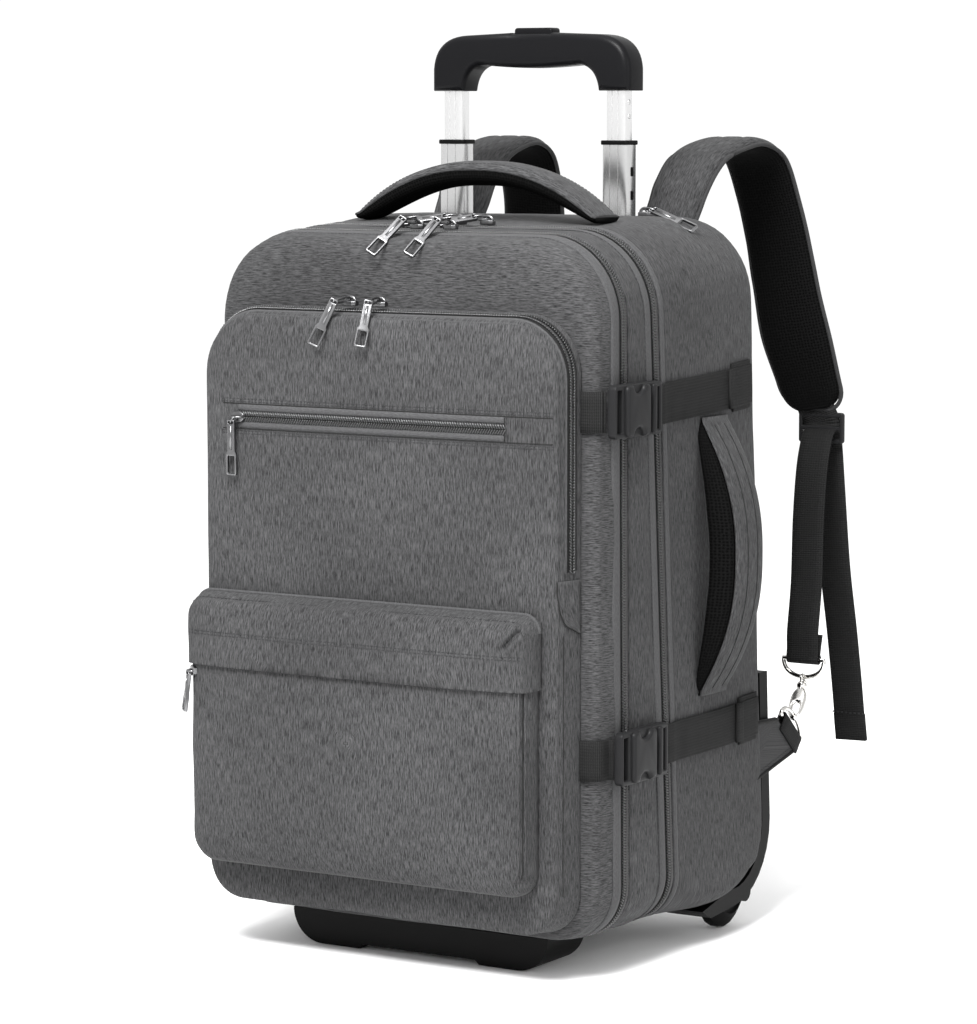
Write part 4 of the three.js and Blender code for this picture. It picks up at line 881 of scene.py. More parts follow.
def seam(name, *runs, radius=0.45, slot="grey_heather", body="bag"):
    """A near-black cord along a seam, where two pieces of cloth are sewn together: painted shadow of the seam's groove
    """
    for i, (points, outs) in enumerate(runs):
        label = name if i == 0 else f"{name}_{i + 1}"
        fit(sweep(label, points, [Vector(o) for o in outs], lambda t: circle(radius, 6), seam_shadow), slot, body=body)


# Slash pocket in the organizer's face: two folded edges with a zip between them, and stitching that
# runs on to the organizer's sides.
organizer_tree = cloth_tree(organizer_shell)
FORWARD, INWARD = (0, 1, 0), (-1, 0, 0)
SLASH_Z, SLASH_LEFT, SLASH_RIGHT = 410.5, -127, 106


def across_face(z, x0, x1, lift, steps=90):
    return laid(organizer_tree, line((x0, 0, z), (x1, 0, z), steps), FORWARD, lift)


for side in (-1, 1):
    levels = [SLASH_Z + side * h for h in (3.6, 5.0, 7.0, 8.9)]
    bands = [across_face(z, SLASH_LEFT - 1, SLASH_RIGHT, lift)[0] for z, lift in zip(levels, (-0.6, 0.9, 0.8, 0.4))]
    fit(sew(f"slash_edge_{'low' if side < 0 else 'high'}", bands, binding_cloth, thick=0.6), "grey_heather")
slash_near, slash_outs = across_face(SLASH_Z - 3.8, SLASH_LEFT, SLASH_RIGHT, 0.35)
slash_far, _ = across_face(SLASH_Z + 3.8, SLASH_LEFT, SLASH_RIGHT, 0.35)
zip_along("slash_zip", slash_near, slash_far, slash_outs, False, "zip_coil")
for label, z, x0, x1 in (("high", SLASH_Z + 9.4, -143, 145), ("low", SLASH_Z - 9.4, -143, 145)):
    seam(f"slash_seam_{label}", across_face(z, x0, x1, 0.1, 120), radius=0.4)
    away = 1 if z > SLASH_Z else -1
    rows = [across_face(z + away * 1.5, x0, x1, 0.15, 120), across_face(z + away * 3.6, x0, x1, 0.15, 120)]
    stitches(f"slash_stitches_{label}", *rows)
end_stitches = laid(organizer_tree, line((SLASH_RIGHT + 2, 0, 402), (SLASH_RIGHT + 2, 0, 419), 12), FORWARD, 0.3)
stitches("slash_end_stitches", end_stitches)
seam("slash_end_seam", laid(organizer_tree, line((SLASH_RIGHT, 0, 402), (SLASH_RIGHT, 0, 419), 12), FORWARD, 0.3))

# A row of stitches follows the inner edge of the organizer's binding. Below the zip's end a rounded tab closes the
# strip, and a seam, drawn as a near-black cord of painted shadow, goes on down to the bottom corner.
inner_row = beside((edge_row, edge_out), (rim_row, edge_out), 9.9, 0.45, steps=1, start=9.9)[0]
stitches("organizer_stitches", (inner_row, flat_outs(edge_out)))


def on_organizer_side(place, z, lift=0.0):
    out, half, _, _, _ = table_values(ORGANIZER_ROWS, place, 5)
    return ORGANIZER_CENTRE + half * ORGANIZER_HALF + lift, ORGANIZER_BASE - out * ORGANIZER_DEPTH - lift * 0.7 * out, z


TAB_TOP, TAB_FOOT = 302.5, 263
tab_rows = []
for k in range(13):
    t = k / 12
    z = TAB_TOP + (TAB_FOOT - TAB_TOP) * t
    reach = 1 - t ** 3
    tab_rows.append([on_organizer_side(5.3 - (5.3 - 2.3) * reach * j / 8, z, 0.9) for j in range(9)])
fit(sew("organizer_tab", tab_rows, heather_across, thick=1.2), "grey_heather")
tab_edge = [row[-1] for row in tab_rows]
seam("organizer_tab_seam", (tab_edge, [(0.6, -0.8, 0)] * len(tab_edge)), radius=0.55)
side_seam = [on_organizer_side(3.6, TAB_FOOT - 190 * k / 40, 0.1) for k in range(41)]
seam("organizer_side_seam", (side_seam, [(1, 0, 0)] * 41), radius=0.35)


# Front pocket: a boxy bellows pocket with a flap over its zip.
POCKET_CENTRE, POCKET_HALF, POCKET_TOP, POCKET_FOOT, POCKET_DEPTH, POCKET_BACK = -13.5, 148.5, 276, 72, 26, -147.8
FLAP_HEM, FLAP_STITCH = 224, 247.5
POCKET_ROWS = (
    (1.0, 4.4, 2.9, 2.9, 1.0),
    (1.0, 2.2, 1.7, 1.7, 1.05),
    (0.8, 0.38, 0.46, 0.46, 1.0),
    (0.5, 0.04, 0.15, 0.06, 1.0),
    (0.0, 0.0, 0.0, 0.0, 1.0),
)


def pocket_row(place, grow=0.0):
    out, side, top, foot, turned = table_values(POCKET_ROWS, place, 5)
    shape = round_outline(
        POCKET_HALF - side * POCKET_DEPTH + grow,
        POCKET_FOOT + foot * POCKET_DEPTH - grow,
        POCKET_TOP - top * POCKET_DEPTH + grow,
        10 * turned + grow,
        18 * turned + grow,
        POCKET_CENTRE,
    )
    y = POCKET_BACK - out * (POCKET_DEPTH + grow)
    return [(x, y, z) for x, z, _, _ in shape], [(c, s) for _, _, c, s in shape]


pocket_outward = pocket_row(4)[1]


def over_the_pocket(p, i, k):
    out = pocket_outward[k % len(pocket_outward)]
    reach = p[1] - (POCKET_BACK - POCKET_DEPTH)
    return p[0] + out[0] * reach, p[2] + out[1] * reach


def bellied(p):
    """The pocket's face swells a little around its middle"""
    x, y, z = p
    across = 1 - ((x - POCKET_CENTRE) / POCKET_HALF) ** 2
    level = (z - POCKET_FOOT) / (POCKET_TOP - POCKET_FOOT)
    swell = max(across, 0) * math.sin(math.pi * min(max(level, 0), 1)) * 1.6
    depth = min(max((POCKET_BACK - y) / POCKET_DEPTH, 0), 1)
    return x, y - swell * depth ** 3, z


pocket_places = [0, 0.35, 0.7, 1, 1.15, 1.3, 1.45, 1.6, 1.75, 1.9, 2, 2.2, 2.4, 2.6, 2.8, 3, 3.3, 3.6, 4]
pocket_shell = sew(
    "pocket_shell",
    [[eased(bellied(p), 0.9 if place < 3 else 0.2, 42, 17) for p in pocket_row(place)[0]] for place in pocket_places],
    heather_across,
    closed=True,
    poles=("middle", None),
    unroll=over_the_pocket,
)
fit(pocket_shell, "grey_heather", "front_pocket")


def trimmed(piece, z, keep_above=True):
    """Cuts a piece off level at z"""
    mesh = bmesh.new()
    mesh.from_mesh(piece.data)
    geometry = mesh.verts[:] + mesh.edges[:] + mesh.faces[:]
    bmesh.ops.bisect_plane(
        mesh, geom=geometry, plane_co=at(0, 0, z), plane_no=(0, 0, 1), clear_inner=keep_above, clear_outer=not keep_above
    )
    mesh.to_mesh(piece.data)
    mesh.free()


def finer(piece, cuts=1):
    mesh = bmesh.new()
    mesh.from_mesh(piece.data)
    bmesh.ops.subdivide_edges(mesh, edges=mesh.edges[:], cuts=cuts, use_grid_fill=True, smooth=0.3)
    mesh.to_mesh(piece.data)
    mesh.free()


pocket_flap = sew(
    "pocket_flap_cloth",
    [[eased(bellied(p), 1.0 if place < 3 else 0.2, 42, 17) for p in pocket_row(place, 2.5)[0]] for place in pocket_places],
    heather_across,
    closed=True,
    poles=("middle", None),
    unroll=over_the_pocket,
)
trimmed(pocket_flap, FLAP_HEM)
finer(pocket_flap)
corner_x = POCKET_CENTRE + POCKET_HALF
flap_corner = (corner_x - 4, POCKET_BACK - POCKET_DEPTH * 0.78, POCKET_TOP - 8)
dart = [flap_corner, (corner_x - 16, POCKET_BACK - POCKET_DEPTH - 1, POCKET_TOP - 22)]
creased(pocket_flap, [dart], 4.5, 2.0)
fit(pocket_flap, "grey_heather", "pocket_flap")

flap_tree = cloth_tree(pocket_flap)
LEFT_X, RIGHT_X = POCKET_CENTRE - POCKET_HALF + 3, POCKET_CENTRE + POCKET_HALF - 3
for label, z in (("a", FLAP_STITCH), ("b", FLAP_STITCH + 2.3)):
    stitches(f"flap_stitches_{label}", laid(flap_tree, line((LEFT_X, 0, z), (RIGHT_X, 0, z), 120), FORWARD, 0.15))
pocket_tree = cloth_tree(pocket_shell)
pocket_zip_line = laid(pocket_tree, line((LEFT_X, 0, FLAP_HEM - 0.6), (RIGHT_X, 0, FLAP_HEM - 0.6), 120), FORWARD, 0.2)
fit(row_of("pocket_zip_edge", stitch, thread, [pocket_zip_line], 2.9), "zip_coil")


# The flap's top edge is bound where it meets the organizer, and the pocket's right edge is piped.
def pocket_run(place, grow, keep):
    row, outward = pocket_row(place, grow)
    return part_of([bellied(p) for p in row], outward, keep)


top_run, top_out = pocket_run(2.9, 2.7, lambda p: p[2] > POCKET_TOP - 6)
stitches("flap_top_stitches", (top_run, flat_outs(top_out)))
top_run, top_out = pocket_run(3.75, 2.6, lambda p: p[2] > POCKET_TOP - 12)
cord_along("flap_top_piping", top_run, 1.5, binding_cloth, "grey_heather")
for label, place in (("a", 2.25), ("b", 2.75)):
    side_run, side_out = pocket_run(place, 0.5, lambda p: p[0] > 100 and p[2] < FLAP_HEM + 8 and p[2] > POCKET_FOOT + 14)
    cord_along(f"pocket_side_piping_{label}", side_run, 1.0, heather_across, "grey_heather")
side_run, side_out = pocket_run(2.5, 0.35, lambda p: p[0] > 100 and p[2] < FLAP_HEM + 8 and p[2] > POCKET_FOOT + 14)
seam("pocket_side_seam", (side_run, flat_outs(side_out)), radius=0.4)


# Back panel: padded air mesh between the shoulder straps, with two upright cushions.
def air_mesh_cloth(name, cell=2.4):
    made, tree, shader = surface(name, 0.9, specular=0.03)
    link = tree.links.new
    uv = node(tree, "ShaderNodeTexCoord")
    place = node(tree, "ShaderNodeMapping", Scale=(1000 / cell, 1000 / cell, 1))
    cells = node(tree, "ShaderNodeTexVoronoi", voronoi_dimensions="2D", Scale=1.0, Randomness=0.25)
    holes = colour_band(tree, (0.0005, 0.0005, 0.0005, 1), (0.0035, 0.0035, 0.0035, 1), 0.12, 0.5)
    bump = node(tree, "ShaderNodeBump", Strength=0.5, Distance=0.0006)
    link(uv.outputs["UV"], place.inputs["Vector"])
    link(place.outputs[0], cells.inputs["Vector"])
    link(cells.outputs["Distance"], holes.inputs[0])
    link(holes.outputs[0], shader.inputs["Base Color"])
    link(cells.outputs["Distance"], bump.inputs["Height"])
    link(bump.outputs[0], shader.inputs["Normal"])
    return made


air_mesh = air_mesh_cloth("air_mesh_cloth")
rear_tree = cloth_tree(rear_shell)
PANEL_HALF, PANEL_FOOT, PANEL_TOP, PANEL_THICK = 137, 212, 527, 8.4


def panel_point(u, v):
    """u runs across the panel and v up it, both from -1 to 1."""
    x, z = u * PANEL_HALF, (PANEL_FOOT + PANEL_TOP) / 2 + v * (PANEL_TOP - PANEL_FOOT) / 2
    edge = min((1 - abs(u)) * PANEL_HALF, (1 - abs(v)) * (PANEL_TOP - PANEL_FOOT) / 2)
    cushion = math.exp(-((abs(x) - 68) / 46) ** 4)
    furrow = 1 - 0.5 * math.exp(-((z - 372) / 7) ** 2)
    rise = PANEL_THICK * min(edge / 9, 1) ** 0.5 * (0.45 + 0.55 * cushion * furrow)
    y = row_y(row_values(12), z) + 0.5 + max(rise, 0.05)
    return x, y, z


panel_rows = [[panel_point(-1 + j / 20, -1 + i / 26) for j in range(41)] for i in range(53)]
back_panel = sew("back_panel_cloth", panel_rows, air_mesh, thick=0.4)
fit(back_panel, "air_mesh", "back_panel")
panel_edge = [panel_point(-1 + j / 20, -1) for j in range(41)] + [panel_point(1, -1 + i / 26) for i in range(1, 53)]
panel_edge += [panel_point(1 - j / 20, 1) for j in range(1, 41)] + [panel_point(-1, 1 - i / 26) for i in range(1, 52)]
cord_along("back_panel_binding", [(x, y + 0.6, z) for x, y, z in panel_edge], 1.7, zip_tape, "air_mesh", closed=True)

# Carrying handles: a padded band each, of heather cloth outside and black mesh inside, sewn down
# flat at both ends.
TOP_HANDLE = {"half_span": 108, "rise": 31, "width": 36, "thick": 13, "lining": 1.9}
SIDE_HANDLE = {"half_span": 106, "rise": 27.5, "width": 40, "thick": 7, "lining": 0.96}


def bow(share, rise):
    s = min(max((abs(share) - 0.03) / 0.94, 0), 1)
    return rise * (1 - s ** 2.2) ** 1.15


def band_thickness(share, thick):
    return thick + (thick * 0.35 - thick) * abs(share) ** 6


def handle_path(handle, place, lift=0.0, steps=30):
    path = []
    for k in range(-steps, steps + 1):
        share = k / steps
        height = 0.5 + band_thickness(share, handle["thick"]) / 2 + bow(share, handle["rise"]) + lift
        path.append(place(share * handle["half_span"] * 0.99, height))
    return path


def shell_section(handle, upper):
    """Half of a padded band's section: the outer cloth, or the lining under it"""
    width, thick = handle["width"], handle["thick"]

    def profile(t):
        share = 2 * t - 1
        deep = band_thickness(share, thick)
        top = [(width / 2 * math.sin(a), deep / 2 * math.cos(a) ** 0.7) for a in
               (math.radians(d) for d in (-89, -72, -56, -40, -20, 0, 20, 40, 56, 72, 89))]
        if upper:
            return top + [(width / 2 - 0.5, -deep * 0.08), (0, 0), (-width / 2 + 0.5, -deep * 0.08)]
        inside = [(u * 0.955, -v * handle["lining"]) for u, v in reversed(top)]
        return [(-width * 0.46, 0.3), (width * 0.46, 0.3)] + inside

    return profile


def handle_pieces(name, handle, place, across, cad_node):
    path = handle_path(handle, place)
    outer = sweep(name + "_cloth", path, across, shell_section(handle, True), heather_across)
    fit(outer, "grey_heather", cad_node)
    inner = sweep(name + "_lining", path, across, shell_section(handle, False), air_mesh)
    fit(inner, "grey_heather")
    return cloth_tree(outer)


def top_z(y):
    """The height of the bag's top edge at a depth"""
    best = min((abs(row_y(row_values(2 + k / 20), TOP) - y), k) for k in range(200))[1]
    return TOP - row_values(2 + best / 20)[3] * EDGE


TOP_SEAT = top_z(-10 + 17)
SIDE_SEAT = HALF + 0.19 * EDGE
top_handle_tree = handle_pieces("top_handle", TOP_HANDLE, lambda s, h: (4 + s, -10, TOP_SEAT + h), (0, -1, 0), "top_handle")
side_handle_tree = handle_pieces(
    "side_handle", SIDE_HANDLE, lambda s, h: (SIDE_SEAT + h, 45, 305 + s), (0, 1, 0), "side_handle"
)
# A sheet of the black mesh curves in from the side handle's front edge towards the bag's side and fills the gap under
# the band with near-black.
under_sheet_path = handle_path(SIDE_HANDLE, lambda s, h: (SIDE_SEAT + h, 45, 305 + s))
under_sheet_rows = []
for j in range(7):
    swing = math.radians(15 * j)
    under_sheet_rows.append([])
    for x, y, z in under_sheet_path:
        reach = min(max((x - SIDE_SEAT - 2) / SIDE_HANDLE["rise"], 0), 1) ** 0.6
        under_sheet_rows[-1].append((x - 1.5 - 17 * reach * (1 - math.cos(swing)), y - 18.6 - 9 * reach * math.sin(swing), z))
fit(sew("side_handle_belly", under_sheet_rows, air_mesh, thick=1.4), "grey_heather")
for k, y in enumerate((37.5, 52.5)):
    run = laid(side_handle_tree, line((0, y, 205), (0, y, 404), 80), (-1, 0, 0), 0.1)
    seam(f"side_handle_seam_{k + 1}", run, radius=0.4)
for k, y in enumerate((-24.5, 4.5)):
    run = laid(top_handle_tree, line((-98, y, 400), (106, y, 400), 80), (0, 0, -1), 0.15)
    stitches(f"top_handle_stitches_{k + 1}", run)


# Plates: flat moulded or stamped shapes with rounded edges. An outline is a list of (across, up)
# points in millimetres, and the plate's frame is given by three directions and its middle.
def plate(name, outlines, thick, bevel, centre, across, up, material, slot, *nodes, body="bag", rounding=3, turned=28):
    curve = bpy.data.curves.new(name + "_outline", "CURVE")
    curve.dimensions = "2D"
    curve.fill_mode = "BOTH"
    for points in outlines:
        points = [p for p, q in zip(points, points[1:] + points[:1]) if math.dist(p, q) > 0.02]
        run = curve.splines.new("POLY")
        run.points.add(len(points) - 1)
        run.points.foreach_set("co", [c for u, v in points for c in (u / 1000, v / 1000, 0, 1)])
        run.use_cyclic_u = True
    curve.bevel_depth = bevel / 1000
    curve.bevel_resolution = rounding
    curve.offset = -bevel / 1000
    curve.extrude = (thick / 2 - bevel) / 1000
    maker = bpy.data.objects.new(name + "_maker", curve)
    bpy.context.collection.objects.link(maker)
    bpy.context.view_layer.update()
    data = bpy.data.meshes.new_from_object(maker.evaluated_get(bpy.context.evaluated_depsgraph_get()))
    data.name = name
    bpy.data.objects.remove(maker)
    bpy.data.curves.remove(curve)
    mesh = bmesh.new()
    mesh.from_mesh(data)
    bmesh.ops.remove_doubles(mesh, verts=mesh.verts, dist=1e-6)
    x, y = Vector(across).normalized(), Vector(up).normalized()
    z = x.cross(y).normalized()
    turn_it = Matrix((x, y, z)).transposed().to_4x4()
    mesh.transform(Matrix.Translation(at(*centre)) @ turn_it)
    bmesh.ops.recalc_face_normals(mesh, faces=mesh.faces)
    mesh.to_mesh(data)
    mesh.free()
    data.materials.clear()
    data.materials.append(material)
    for face in data.polygons:
        face.material_index = 0
    data.shade_smooth()
    data.set_sharp_from_angle(angle=math.radians(turned))
    piece = bpy.data.objects.new(name, data)
    bpy.context.collection.objects.link(piece)
    return fit(piece, slot, *nodes, body=body)


def rounded(half_u, half_v, radius, steps=6, centre=(0, 0)):
    points = []
    for su, sv, quarter in ((1, 1, 0), (-1, 1, 1), (-1, -1, 2), (1, -1, 3)):
        for k in range(steps + 1):
            a = (quarter + k / steps) * math.pi / 2
            u = su * (half_u - radius) + radius * math.cos(a)
            v = sv * (half_v - radius) + radius * math.sin(a)
            points.append((centre[0] + u, centre[1] + v))
    return points


def bend(a, b, c, steps=8):
    """Points from a towards c along a quadratic curve, without c itself"""
    a, b, c = Vector(a), Vector(b), Vector(c)
    return [tuple((1 - t) ** 2 * a + 2 * t * (1 - t) * b + t * t * c) for t in (k / steps for k in range(steps))]


def moulded(name, colour, roughness, grain=1400.0, strength=0.12, metallic=0.0):
    made, tree, shader = surface(name, roughness, metallic=metallic, specular=0.07)
    shader.inputs["Base Color"].default_value = colour
    link = tree.links.new
    place = node(tree, "ShaderNodeTexCoord")
    noise_node = node(tree, "ShaderNodeTexNoise", Scale=grain, Detail=1.0)
    bump = node(tree, "ShaderNodeBump", Strength=strength, Distance=0.0002)
    link(place.outputs["Object"], noise_node.inputs["Vector"])
    link(noise_node.outputs[0], bump.inputs["Height"])
    link(bump.outputs[0], shader.inputs["Normal"])
    return made


black_plastic = moulded("black_moulding", (0.0015, 0.0015, 0.0015, 1), 0.5)
buckle_plastic = moulded("buckle_moulding", (0.011, 0.011, 0.0115, 1), 0.36, grain=2600.0, strength=0.06)
grip_plastic = moulded("grip_moulding", (0.004, 0.004, 0.0045, 1), 0.36, strength=0.05)
tyre_rubber = moulded("tyre_rubber", (0.005, 0.005, 0.005, 1), 0.7)

# Running gear: the moulded heel, the front foot, the trolley's base and the wheels keep the CAD
# model's own shapes, with their edges broken.
def dressed(name, material, bevel=1.2):
    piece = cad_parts[name]
    weld = piece.modifiers.new("weld", "WELD")
    weld.merge_threshold = 0.00002
    edge = piece.modifiers.new("edges", "BEVEL")
    edge.width = bevel / 1000
    edge.segments = 3
    edge.limit_method = "ANGLE"
    edge.angle_limit = math.radians(32)
    piece.data.materials.clear()
    piece.data.materials.append(material)
    piece.data.shade_smooth()
    even = piece.modifiers.new("even_shading", "WEIGHTED_NORMAL")
    even.keep_sharp = True


dressed("rear_plate", black_plastic)
dressed("front_foot", black_plastic, 1.6)
dressed("trolley_base", black_plastic, 0.5)
dressed("wheel_right", tyre_rubber, 0.8)
dressed("wheel_left", tyre_rubber, 0.8)

# Trolley: two stages of anodised tube on each side under one moulded grip. Grooves run down the
# tubes' fronts, and the side face of each carries its latch windows or rivets.
def anodised(name, level):
    """Plain satin metal. Its light and dark bands are reflections of the studio."""
    made, tree, shader = surface(name, 0.24, metallic=1.0)
    shader.inputs["Base Color"].default_value = (level, level, level, 1)
    uv = node(tree, "ShaderNodeTexCoord")
    brushed = node(tree, "ShaderNodeTexNoise", Scale=1.0, Detail=2.0)
    stretch = node(tree, "ShaderNodeMapping", Scale=(9000, 60, 1))
    bump = node(tree, "ShaderNodeBump", Strength=0.04, Distance=0.0001)
    link = tree.links.new
    link(uv.outputs["UV"], stretch.inputs[0])
    link(stretch.outputs[0], brushed.inputs["Vector"])
    link(brushed.outputs[0], bump.inputs["Height"])
    link(bump.outputs[0], shader.inputs["Normal"])
    return made


lower_metal, upper_metal = anodised("anodised_lower", 0.62), anodised("anodised_upper", 0.8)


def tube_section(width, depth, corner, groove):
    """The section of a tube, from its front face on round, with two grooves in the front"""
    w, d, c = width / 2, depth / 2, corner
    front = [(-w + c, d)]
    for centre in (-groove, groove):
        front += [(centre - 0.9, d), (centre - 0.5, d - 0.7), (centre + 0.5, d - 0.7), (centre + 0.9, d)]
    front.append((w - c, d))
    turn = [(w - 0.3 * c, d - 0.3 * c), (w, d - c), (w, -d + c), (w - 0.3 * c, -d + 0.3 * c), (w - c, -d)]
    return front + turn + [(-w + c, -d), (-w + 0.3 * c, -d + 0.3 * c), (-w, -d + c), (-w, d - c), (-w + 0.3 * c, d - 0.3 * c)]


def tube_run(name, x, z0, z1, section, material, slot, node_name, body):
    steps = 4
    path = [(x, TUBE_Y, z0 + (z1 - z0) * k / steps) for k in range(steps + 1)]
    piece = sweep(name, path, (1, 0, 0), lambda t: section, material)
    piece.data.set_sharp_from_angle(angle=math.radians(30))
    fit(piece, slot, *([node_name] if node_name else []), body=body)


GRIP_BOTTOM, GRIP_TOP = 653, 698
for tag, sign in (("right", 1), ("left", -1)):
    x = sign * TUBE_X
    lower = tube_section(22.5, 15.4, 2.4, 3.6)
    tube_run(f"trolley_tube_lower_{tag}", x, 212, 612, lower, lower_metal, "aluminium", f"lower_tube_{tag}", "trolley_lower")
    upper = tube_section(17.5, 12, 2.2, 2.6)
    tube_run(f"trolley_tube_upper_{tag}", x, 262, 672, upper, upper_metal, "aluminium", f"upper_tube_{tag}", "trolley_upper")
    plate(
        f"tube_collar_{tag}", [rounded(12.4, 8.9, 3)], 3.4, 0.8, (x, TUBE_Y, 613.6), (1, 0, 0), (0, 1, 0),
        black_plastic, "black_plastic", body="trolley_lower",
    )
    for k, z in enumerate((591.5, 573.5)):
        plate(
            f"latch_window_{tag}_{k + 1}", [rounded(2.4, 3.5, 0.8)], 1.0, 0.2, (x + sign * 10.85, TUBE_Y, z),
            (0, 1, 0), (0, 0, 1), black_plastic, "black_plastic", body="trolley_lower",
        )
    for k, z in enumerate((644.5, 633.5)):
        plate(
            f"tube_rivet_{tag}_{k + 1}", [rounded(1.9, 1.9, 1.85, 8)], 1.2, 0.5, (x + sign * 8.7, TUBE_Y, z),
            (0, 1, 0), (0, 0, 1), lower_metal, "aluminium", body="trolley_upper",
        )

grip_outer, grip_inner, grip_under = 88.75, 60.75, GRIP_TOP - 24
right_half = [(grip_outer, GRIP_BOTTOM)]
right_half += bend((grip_outer, GRIP_TOP - 28), (grip_outer - 2, GRIP_TOP - 3), (grip_outer - 30, GRIP_TOP - 2), 12)
right_half += [(grip_outer - 30, GRIP_TOP - 2), (18.5, GRIP_TOP - 0.4), (18.0, GRIP_TOP - 1.2)]
inner_half = bend((0, grip_under - 3.5), (20, grip_under - 3.3), (grip_inner - 16, grip_under - 1), 8)
inner_half += bend((grip_inner - 16, grip_under - 1), (grip_inner - 2, grip_under - 4), (grip_inner, GRIP_BOTTOM), 12)
inner_half.append((grip_inner, GRIP_BOTTOM))
left_half = [(-u, v) for u, v in reversed(right_half)]
grip_outline = right_half + left_half + [(-u, v) for u, v in reversed(inner_half)] + inner_half[1:]
plate(
    "grip_bow", [grip_outline], 27, 5.5, (0, TUBE_Y, 0), (1, 0, 0), (0, 0, 1),
    grip_plastic, "grip_plastic", "grip", body="trolley_upper", rounding=5, turned=50,
)
plate(
    "release_button", [rounded(17, 5.2, 2.4, centre=(0, GRIP_TOP - 1.8))], 13, 1.4, (0, TUBE_Y, 0), (1, 0, 0), (0, 0, 1),
    grip_plastic, "grip_plastic", "grip_button", body="button",
)


# Webbing: black nylon with fine ribs across it.
def ribbed_webbing(name, pitch=1.5):
    made, tree, shader = surface(name, 0.75, specular=0.1)
    link = tree.links.new
    uv = node(tree, "ShaderNodeTexCoord")
    apart = node(tree, "ShaderNodeSeparateXYZ")
    turns = node(tree, "ShaderNodeMath", operation="MULTIPLY")
    turns.inputs[1].default_value = 2 * math.pi * 1000 / pitch
    wave = node(tree, "ShaderNodeMath", operation="SINE")
    cross = node(tree, "ShaderNodeMath", operation="MULTIPLY")
    cross.inputs[1].default_value = 2 * math.pi * 1000 / 2.2
    cross_wave = node(tree, "ShaderNodeMath", operation="SINE")
    both = node(tree, "ShaderNodeMath", operation="MULTIPLY_ADD")
    both.inputs[1].default_value = 0.4
    shades = colour_band(tree, (0.003, 0.003, 0.003, 1), (0.014, 0.014, 0.014, 1), 0.0, 1.0)
    shift = node(tree, "ShaderNodeMapRange")
    shift.inputs["From Min"].default_value = -1.4
    shift.inputs["From Max"].default_value = 1.4
    bump = node(tree, "ShaderNodeBump", Strength=0.5, Distance=0.00035)
    link(uv.outputs["UV"], apart.inputs[0])
    link(apart.outputs[1], turns.inputs[0])
    link(turns.outputs[0], wave.inputs[0])
    link(apart.outputs[0], cross.inputs[0])
    link(cross.outputs[0], cross_wave.inputs[0])
    link(cross_wave.outputs[0], both.inputs[0])
    link(wave.outputs[0], both.inputs[2])
    link(both.outputs[0], shift.inputs[0])
    link(shift.outputs[0], shades.inputs[0])
    link(shades.outputs[0], shader.inputs["Base Color"])
    link(both.outputs[0], bump.inputs["Height"])
    link(bump.outputs[0], shader.inputs["Normal"])
    return made


webbing = ribbed_webbing("ribbed_webbing")


def ribbon(width, thick):
    u, v = width / 2, thick / 2
    top = [(-u + 0.5, v), (-u * 0.5, v * 1.06), (0, v * 1.08), (u * 0.5, v * 1.06), (u - 0.5, v)]
    return top + [(u, 0)] + [(a, -b) for a, b in reversed(top)] + [(-u, 0)]


# Compression straps: on each side two, each a short web from beside the organizer to a side-release
# buckle and a longer one from there to the bag's back edge.
def side_x(y, z):
    """The side of the bag at a depth"""
    best = min((abs(row_y(row_values(1 + k / 20), z) - y), k) for k in range(220))[1]
    return HALF - row_values(1 + best / 20)[2] * EDGE


def depth_of(name, z):
    return row_y(row_values(ROW_NAMES.index(name)), z)


BUCKLE_LONG, BUCKLE_HIGH, BUCKLE_THICK, BUCKLE_LIFT = 68, 39, 10, 2.4
WEB, WEB_THICK = 30, 1.8


def side_web(name, node_name, sign, start, stop, z0, z1):
    path = []
    zip_from, zip_to = depth_of("main_zip_near", z0), depth_of("main_zip_far", z0)
    for k in range(31):
        y = start + (stop - start) * k / 30
        on_zip = min(max((y - zip_from + 5) / 6, 0), 1) * min(max((zip_to + 5 - y) / 6, 0), 1)
        beyond = 0.5 if y > zip_to else 0.0
        lift = 1.3 + 2.0 * on_zip + beyond
        path.append((sign * (side_x(y, z0) + lift), y, z0 + (z1 - z0) * (y - start) / (stop - start)))
    piece = sweep(name, path, (0, 0, 1), lambda t: ribbon(WEB, WEB_THICK), webbing)
    return fit(piece, "black_webbing", node_name)


def front_web(name, node_name, sign, buckle_front, z):
    edge = FRONT - 1.5
    near = (HALF - 0.55 * EDGE - 0.5, edge)
    rim_y = min(depth_of("rim", z), buckle_front - 1.4)
    points = [
        (ORGANIZER_CENTRE + ORGANIZER_HALF + 0.4, edge, z),
        (near[0] - 4, edge, z),
        (near[0] + 1.5, edge + 0.8, z),
        (side_x(depth_of("rim", z), z) + 0.6, edge + 5, z),
        (side_x(depth_of("rim", z), z) + 1.5, rim_y, z),
        (side_x(buckle_front, z) + 1.5 + BUCKLE_LIFT, buckle_front - 0.4, z),
    ]
    points = [(sign * x, y, z) for x, y, z in points if y <= buckle_front]
    path = smooth_path(points, 5)
    return fit(sweep(name, path, (0, 0, 1), lambda t: ribbon(WEB, WEB_THICK), webbing), "black_webbing", node_name)


